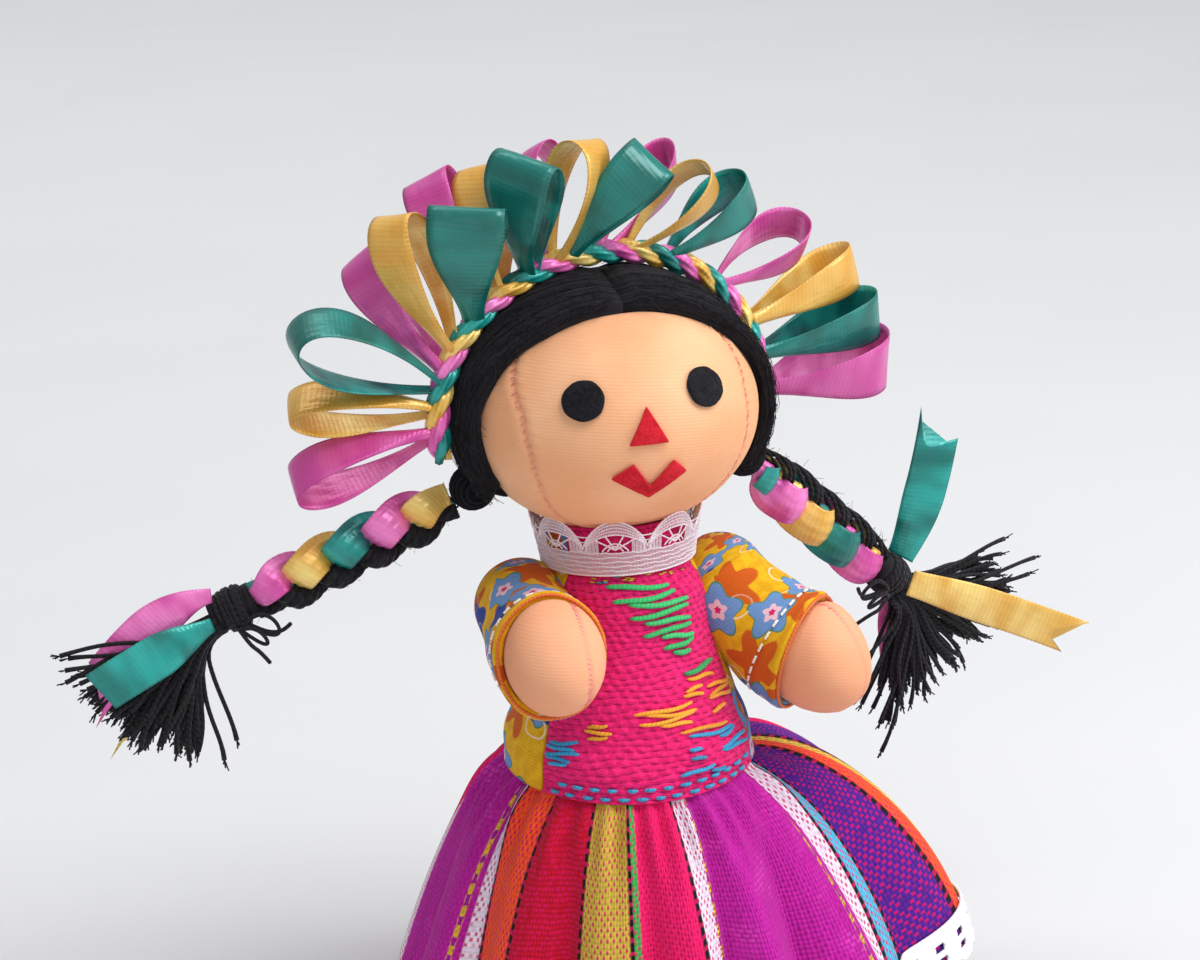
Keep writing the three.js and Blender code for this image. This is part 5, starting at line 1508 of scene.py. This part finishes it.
    # whip stitches: the outline of the hand in the seam's plane, walked at even steps
    rows = np.flatnonzero((place > 0.63) & (width > abs(seamAt) + 0.02))
    spot, pace = armCurve(place[rows])
    up = np.cross(pace, leftward)
    lift = (tallness[rows] * np.sqrt(1 - (seamAt / width[rows]) ** 2))[:, None]
    section = np.concatenate([spot + up * lift, (spot - up * lift)[::-1]])
    run = walked(section)
    core = armCurve(np.array([0.74]))[0]
    t = np.linspace(-1, 1, 5)
    sewn = []
    for at in np.arange(0.3, run[-1], 0.7):
        spot = np.stack([np.interp(at + 0.2 * t, run, section[:, k]) for k in range(3)], -1)
        across = seamAt + draw.uniform(0.32, 0.5) * t
        shrink = np.sqrt((1 - (across / armPlan["hand"][0]) ** 2) / (1 - (seamAt / armPlan["hand"][0]) ** 2))
        spot = core + (spot - core) * (shrink * 0.985)[:, None]
        spot[:, 0] = across
        sewn.append(spot)
    sewn = tubes(posed(np.array(sewn)), 0.085, 5, start=(0.3, 0.5, 0.8), finish=1, dye=tone("EE8A90"))
    arm = piece("arm_" + name + "_cloth", [mitten, sewn], [shadedHandSkin, floss], body, ["arm_" + name], "skin")
print("arms made")

# skirt and hem
skirtPlan = {
    "columns": 900,
    "rows": 56,
    "hem": 37.0,
    "bell": 0.6,
    "folds": 13,
    "depth": 3.6,
    # single deeper creases: azimuth, half width in degrees, depth in mm
    "creases": ((29, 7, 2.8), (-71, 5, 3.0), (7, 4, 1.6), (55, 4, 2.0), (-20, 4, 1.0)),
    "puffAt": 96.0,
    "puffHalf": 62.0,
    "puffSpread": 11.0,
    "puffLift": 9.0,
    # stripes: azimuth where each starts, dye, kind (0.3 few flecks, 0.5 flecks, 0.75 black dashes, 1 metal)
    "stripes": [
        (-180, "B81E98", 0.3), (-166, "FA5426", 0.5), (-156, "16141A", 0.75), (-154.6, "BE0F2C", 0.5),
        (-140, "16141A", 0.75), (-138.6, "C4AA40", 0.5), (-128, "EA1E6C", 0.5), (-114, "EFE3F2", 0.5),
        (-110, "B81E98", 0.3), (-76.4, "D9AE3A", 1.0), (-75.2, "B81E98", 0.3), (-73.6, "EBDDF0", 0.5),
        (-69.6, "16141A", 0.75), (-68.4, "FA5426", 0.5), (-52.6, "16141A", 0.75), (-51.2, "C20E2E", 0.5),
        (-33, "16141A", 0.75), (-31.6, "C4AA40", 0.5), (-17.8, "16141A", 0.75), (-16.6, "3FA552", 0.5),
        (-14.4, "EE1E68", 0.5), (2, "16141A", 0.75), (3.4, "EBDDF0", 0.5), (9, "D9AE3A", 1.0),
        (10.3, "BE209C", 0.3), (49.4, "D9AE3A", 1.0), (50.6, "BE209C", 0.3), (53, "EBDDF0", 0.5),
        (57.8, "16141A", 0.75), (59, "4FB6DC", 0.5), (63.8, "16141A", 0.75), (65, "501C8A", 0.5),
        (78, "16141A", 0.75), (79.4, "FA5626", 0.5), (84.6, "E0C94A", 0.5), (88, "16141A", 0.75),
        (89.2, "382699", 0.5), (106, "EA1E6C", 0.5), (112, "EBDDF0", 0.5), (117, "B81E98", 0.3),
        (140, "16141A", 0.75), (141.4, "FA5426", 0.5), (152, "BE0F2C", 0.5), (164, "C4AA40", 0.5),
        (172, "EBDDF0", 0.5), (176, "B81E98", 0.3),
    ],
}


def puffAt(degrees):
    # 1 where the skirt is spread and lifted at the doll's left, easing to 0
    away = (np.asarray(degrees) - skirtPlan["puffAt"] + 180) % 360 - 180
    return np.cos(np.minimum(1, np.abs(away) / skirtPlan["puffHalf"]) * np.pi / 2) ** 2


def onSkirt(degrees, fall, over):
    # from the waist seam to the hem: a cone with rounded folds, bellied out on the spread side
    a = np.radians(degrees)
    puff = puffAt(degrees)
    flare = lerp(fall ** skirtPlan["bell"], np.sin(fall * np.pi / 2), puff)
    drop = lerp(fall, fall * fall * (2 - fall), puff)
    uneven = 1 + 0.25 * np.sin(2 * a + 1) + 0.15 * np.sin(5 * a)
    wave = skirtPlan["folds"] * a + 1.2 * np.sin(2 * a)
    # round ridges and narrow valleys
    fold = skirtPlan["depth"] * fall**0.7 * uneven * (2 * np.sqrt(np.cos(wave / 2) ** 2 + 0.03) - 1.27)
    for at, half, deep in skirtPlan["creases"]:
        bend = (np.asarray(degrees) - at - 6 * (fall - 0.5) + 180) % 360 - 180
        fold = fold - deep * fall**0.45 * (1.2 - 0.4 * fall) * bell(bend, half)
    gather = 0.75 * bell(fall - 0.08, 0.12) * np.cos(37 * a + 2 * np.sin(3 * a))
    radius = lerp(16.5, skirtPlan["hem"] + skirtPlan["puffSpread"] * puff, flare) + fold + gather * (1 - fall)
    height = lerp(seamHeight(degrees) - 1.1, skirtPlan["puffLift"] * puff, drop)
    return onCircle(radius + over, degrees, height)


az = np.linspace(-180, 180, skirtPlan["columns"], endpoint=False)[None]
fall = np.linspace(0, 1, skirtPlan["rows"])[:, None] ** 1.5
tuckTop = onCircle(16.3 + 0 * az, az, seamHeight(az) + 1.6)
outside = onSkirt(az, fall, 0.0)
inside = onSkirt(az, np.linspace(1, 0.1, 18)[:, None] ** 1.5, -0.55)
tuckIn = onCircle(15.8 + 0 * az, az, seamHeight(az) + 1.6)
grid = np.concatenate([tuckTop, outside, inside, tuckIn])
starts = np.array([s[0] for s in skirtPlan["stripes"]])
which = np.searchsorted(starts, az[0], side="right") - 1
dye = np.array([tone(s[1]) for s in skirtPlan["stripes"]])[which]
kind = np.array([s[2] for s in skirtPlan["stripes"]])[which]
rowsDown = np.concatenate([[-2.0], fall[:, 0] * 46, 46 * np.linspace(1, 0.1, 18) ** 1.5, [-2.0, -2.0]])
uv = pairs(np.linspace(-180, 180, skirtPlan["columns"] + 1)[None] * 0.62, rowsDown[:, None])
cloth = shell(grid, uv, around=True, hoop=True, flip=True, tint=kind[None], dye=dye[None])
skirt = piece("skirt_cloth", [cloth], striped, "torso", ["skirt"], "stripe")

# eyelet tape along the hem: threads woven both ways round square holes
hemPlan = {"height": 8.0, "clear": 0.4, "length": 280, "columns": 1008, "cell": 14}
hemColumns = hemPlan["columns"]
az = np.linspace(-180, 180, hemColumns, endpoint=False)[None]
upMm = np.linspace(hemPlan["clear"], hemPlan["height"], 27)[:, None]
grid = onSkirt(az, 1 - upMm / seamHeight(az), 0.35 + 0.08 * np.cos(tau * upMm / 1.9))
uv = pairs(np.linspace(0, hemPlan["length"], hemColumns + 1)[None], upMm)
tape = shell(grid, uv, around=True, dye=tone("F3EFF4"))
quads, quadUv = tape["faces"][0]
column = np.arange(len(quads)) % hemColumns
row = np.arange(len(quads)) // hemColumns
inCell = column % hemPlan["cell"]
hole = (inCell >= 2) & (inCell < 7) & (((row >= 8) & (row < 12)) | ((row >= 15) & (row < 19)))
# small points along the lower edge
hole = hole | ((row < 3) & (np.abs(inCell - 7) > 4 + row))
tape["faces"] = [(quads[~hole], quadUv[~hole])]
hem = piece("hem_lace_tape", [tape], laceWhite, "torso", ["hem_lace"], "lace")
solid = hem.modifiers.new("thickness", "SOLIDIFY")
solid.thickness = 0.00035
solid.offset = 1.0
print("skirt made")

# legs and slippers
legPlan = {
    "hip": (7.6, 0.0, 38.0),
    "sole": 2.7,
    # the round hip, thigh, knee and ankle: way down from the hip, radius
    "down": (-6.3, -5.5, -4, -2, 0, 3, 17.6, 28, 33, 35.3),
    "radius": (0.1, 3.1, 4.9, 5.95, 6.25, 5.6, 5.2, 4.4, 4.3, 3.0),
}
slipperPlan = {"half": 5.7, "toe": 11.5, "heel": 6.6, "height": 8.0, "opening": 5.5}
for name, sign in sides:
    # leg: a tube whose radius follows the plan, a little uneven, with a sewn groove behind
    hip = np.array(legPlan["hip"]) * np.array((sign, 1, 1))
    t = np.linspace(0, 1, 60)[:, None]
    z = lerp(6.25, legPlan["sole"] - 38, t)
    radius = np.interp(-z, legPlan["down"], legPlan["radius"])
    a = np.arange(48) * tau / 48
    bulge = 1 + 0.012 * np.sin(3 * a + z * 0.4)
    seam = 1 - 0.05 * bell(a - np.pi / 2, 0.1)
    limb = vec(radius * bulge * seam * np.cos(a), radius * bulge * seam * np.sin(a), z) + hip
    body = "leg_" + name
    limb = shell(limb, around=True, caps=True, flip=True, tint=0.4)
    leg = piece(body + "_cloth", [limb], skin, body, [body], "skin")
    # slipper: a flat sole, sides drawn in over the foot, a bound edge round the opening
    levels = np.array((0, 0.06, 0.2, 0.4, 0.6, 0.78, 0.9, 0.97, 1.0, 0.98, 0.8, 0.5))
    narrow = np.array((0, 0.0, 0.0, 0.12, 0.38, 0.72, 0.9, 0.97, 1.0, 1.1, 1.16, 1.1))
    inset = np.array((0.6, 0.1, 0, 0, 0, 0, 0, -0.2, 0, 0.5, 0.6, 0.7))
    middle = (slipperPlan["heel"] - slipperPlan["toe"]) / 2
    long = (slipperPlan["heel"] + slipperPlan["toe"]) / 2
    a = np.arange(64) * tau / 64
    halfWide = (lerp(slipperPlan["half"], slipperPlan["opening"], np.minimum(narrow, 1)) - inset)[:, None]
    halfLong = (lerp(long, slipperPlan["opening"], np.minimum(narrow, 1)) - inset)[:, None]
    centre = lerp(middle, 0, np.minimum(narrow, 1))[:, None]
    shoe = vec(halfWide * np.cos(a), centre + halfLong * np.sin(a), levels[:, None] * slipperPlan["height"])
    shoe = shoe + np.array((hip[0], hip[1], 0))
    felt = shell(shoe, around=True, caps=True)
    edge = np.concatenate([shoe[8], shoe[8, :2]]) + 0.05 * upright
    wrap = tubes(edge, 0.35, 6, start=upright, finish=1, dye=tone("6A1030"))
    node = "slipper_" + name
    piece(node + "_felt", [felt, wrap], [slipperFelt, floss], body, [node], "felt_dark")
print("legs made")
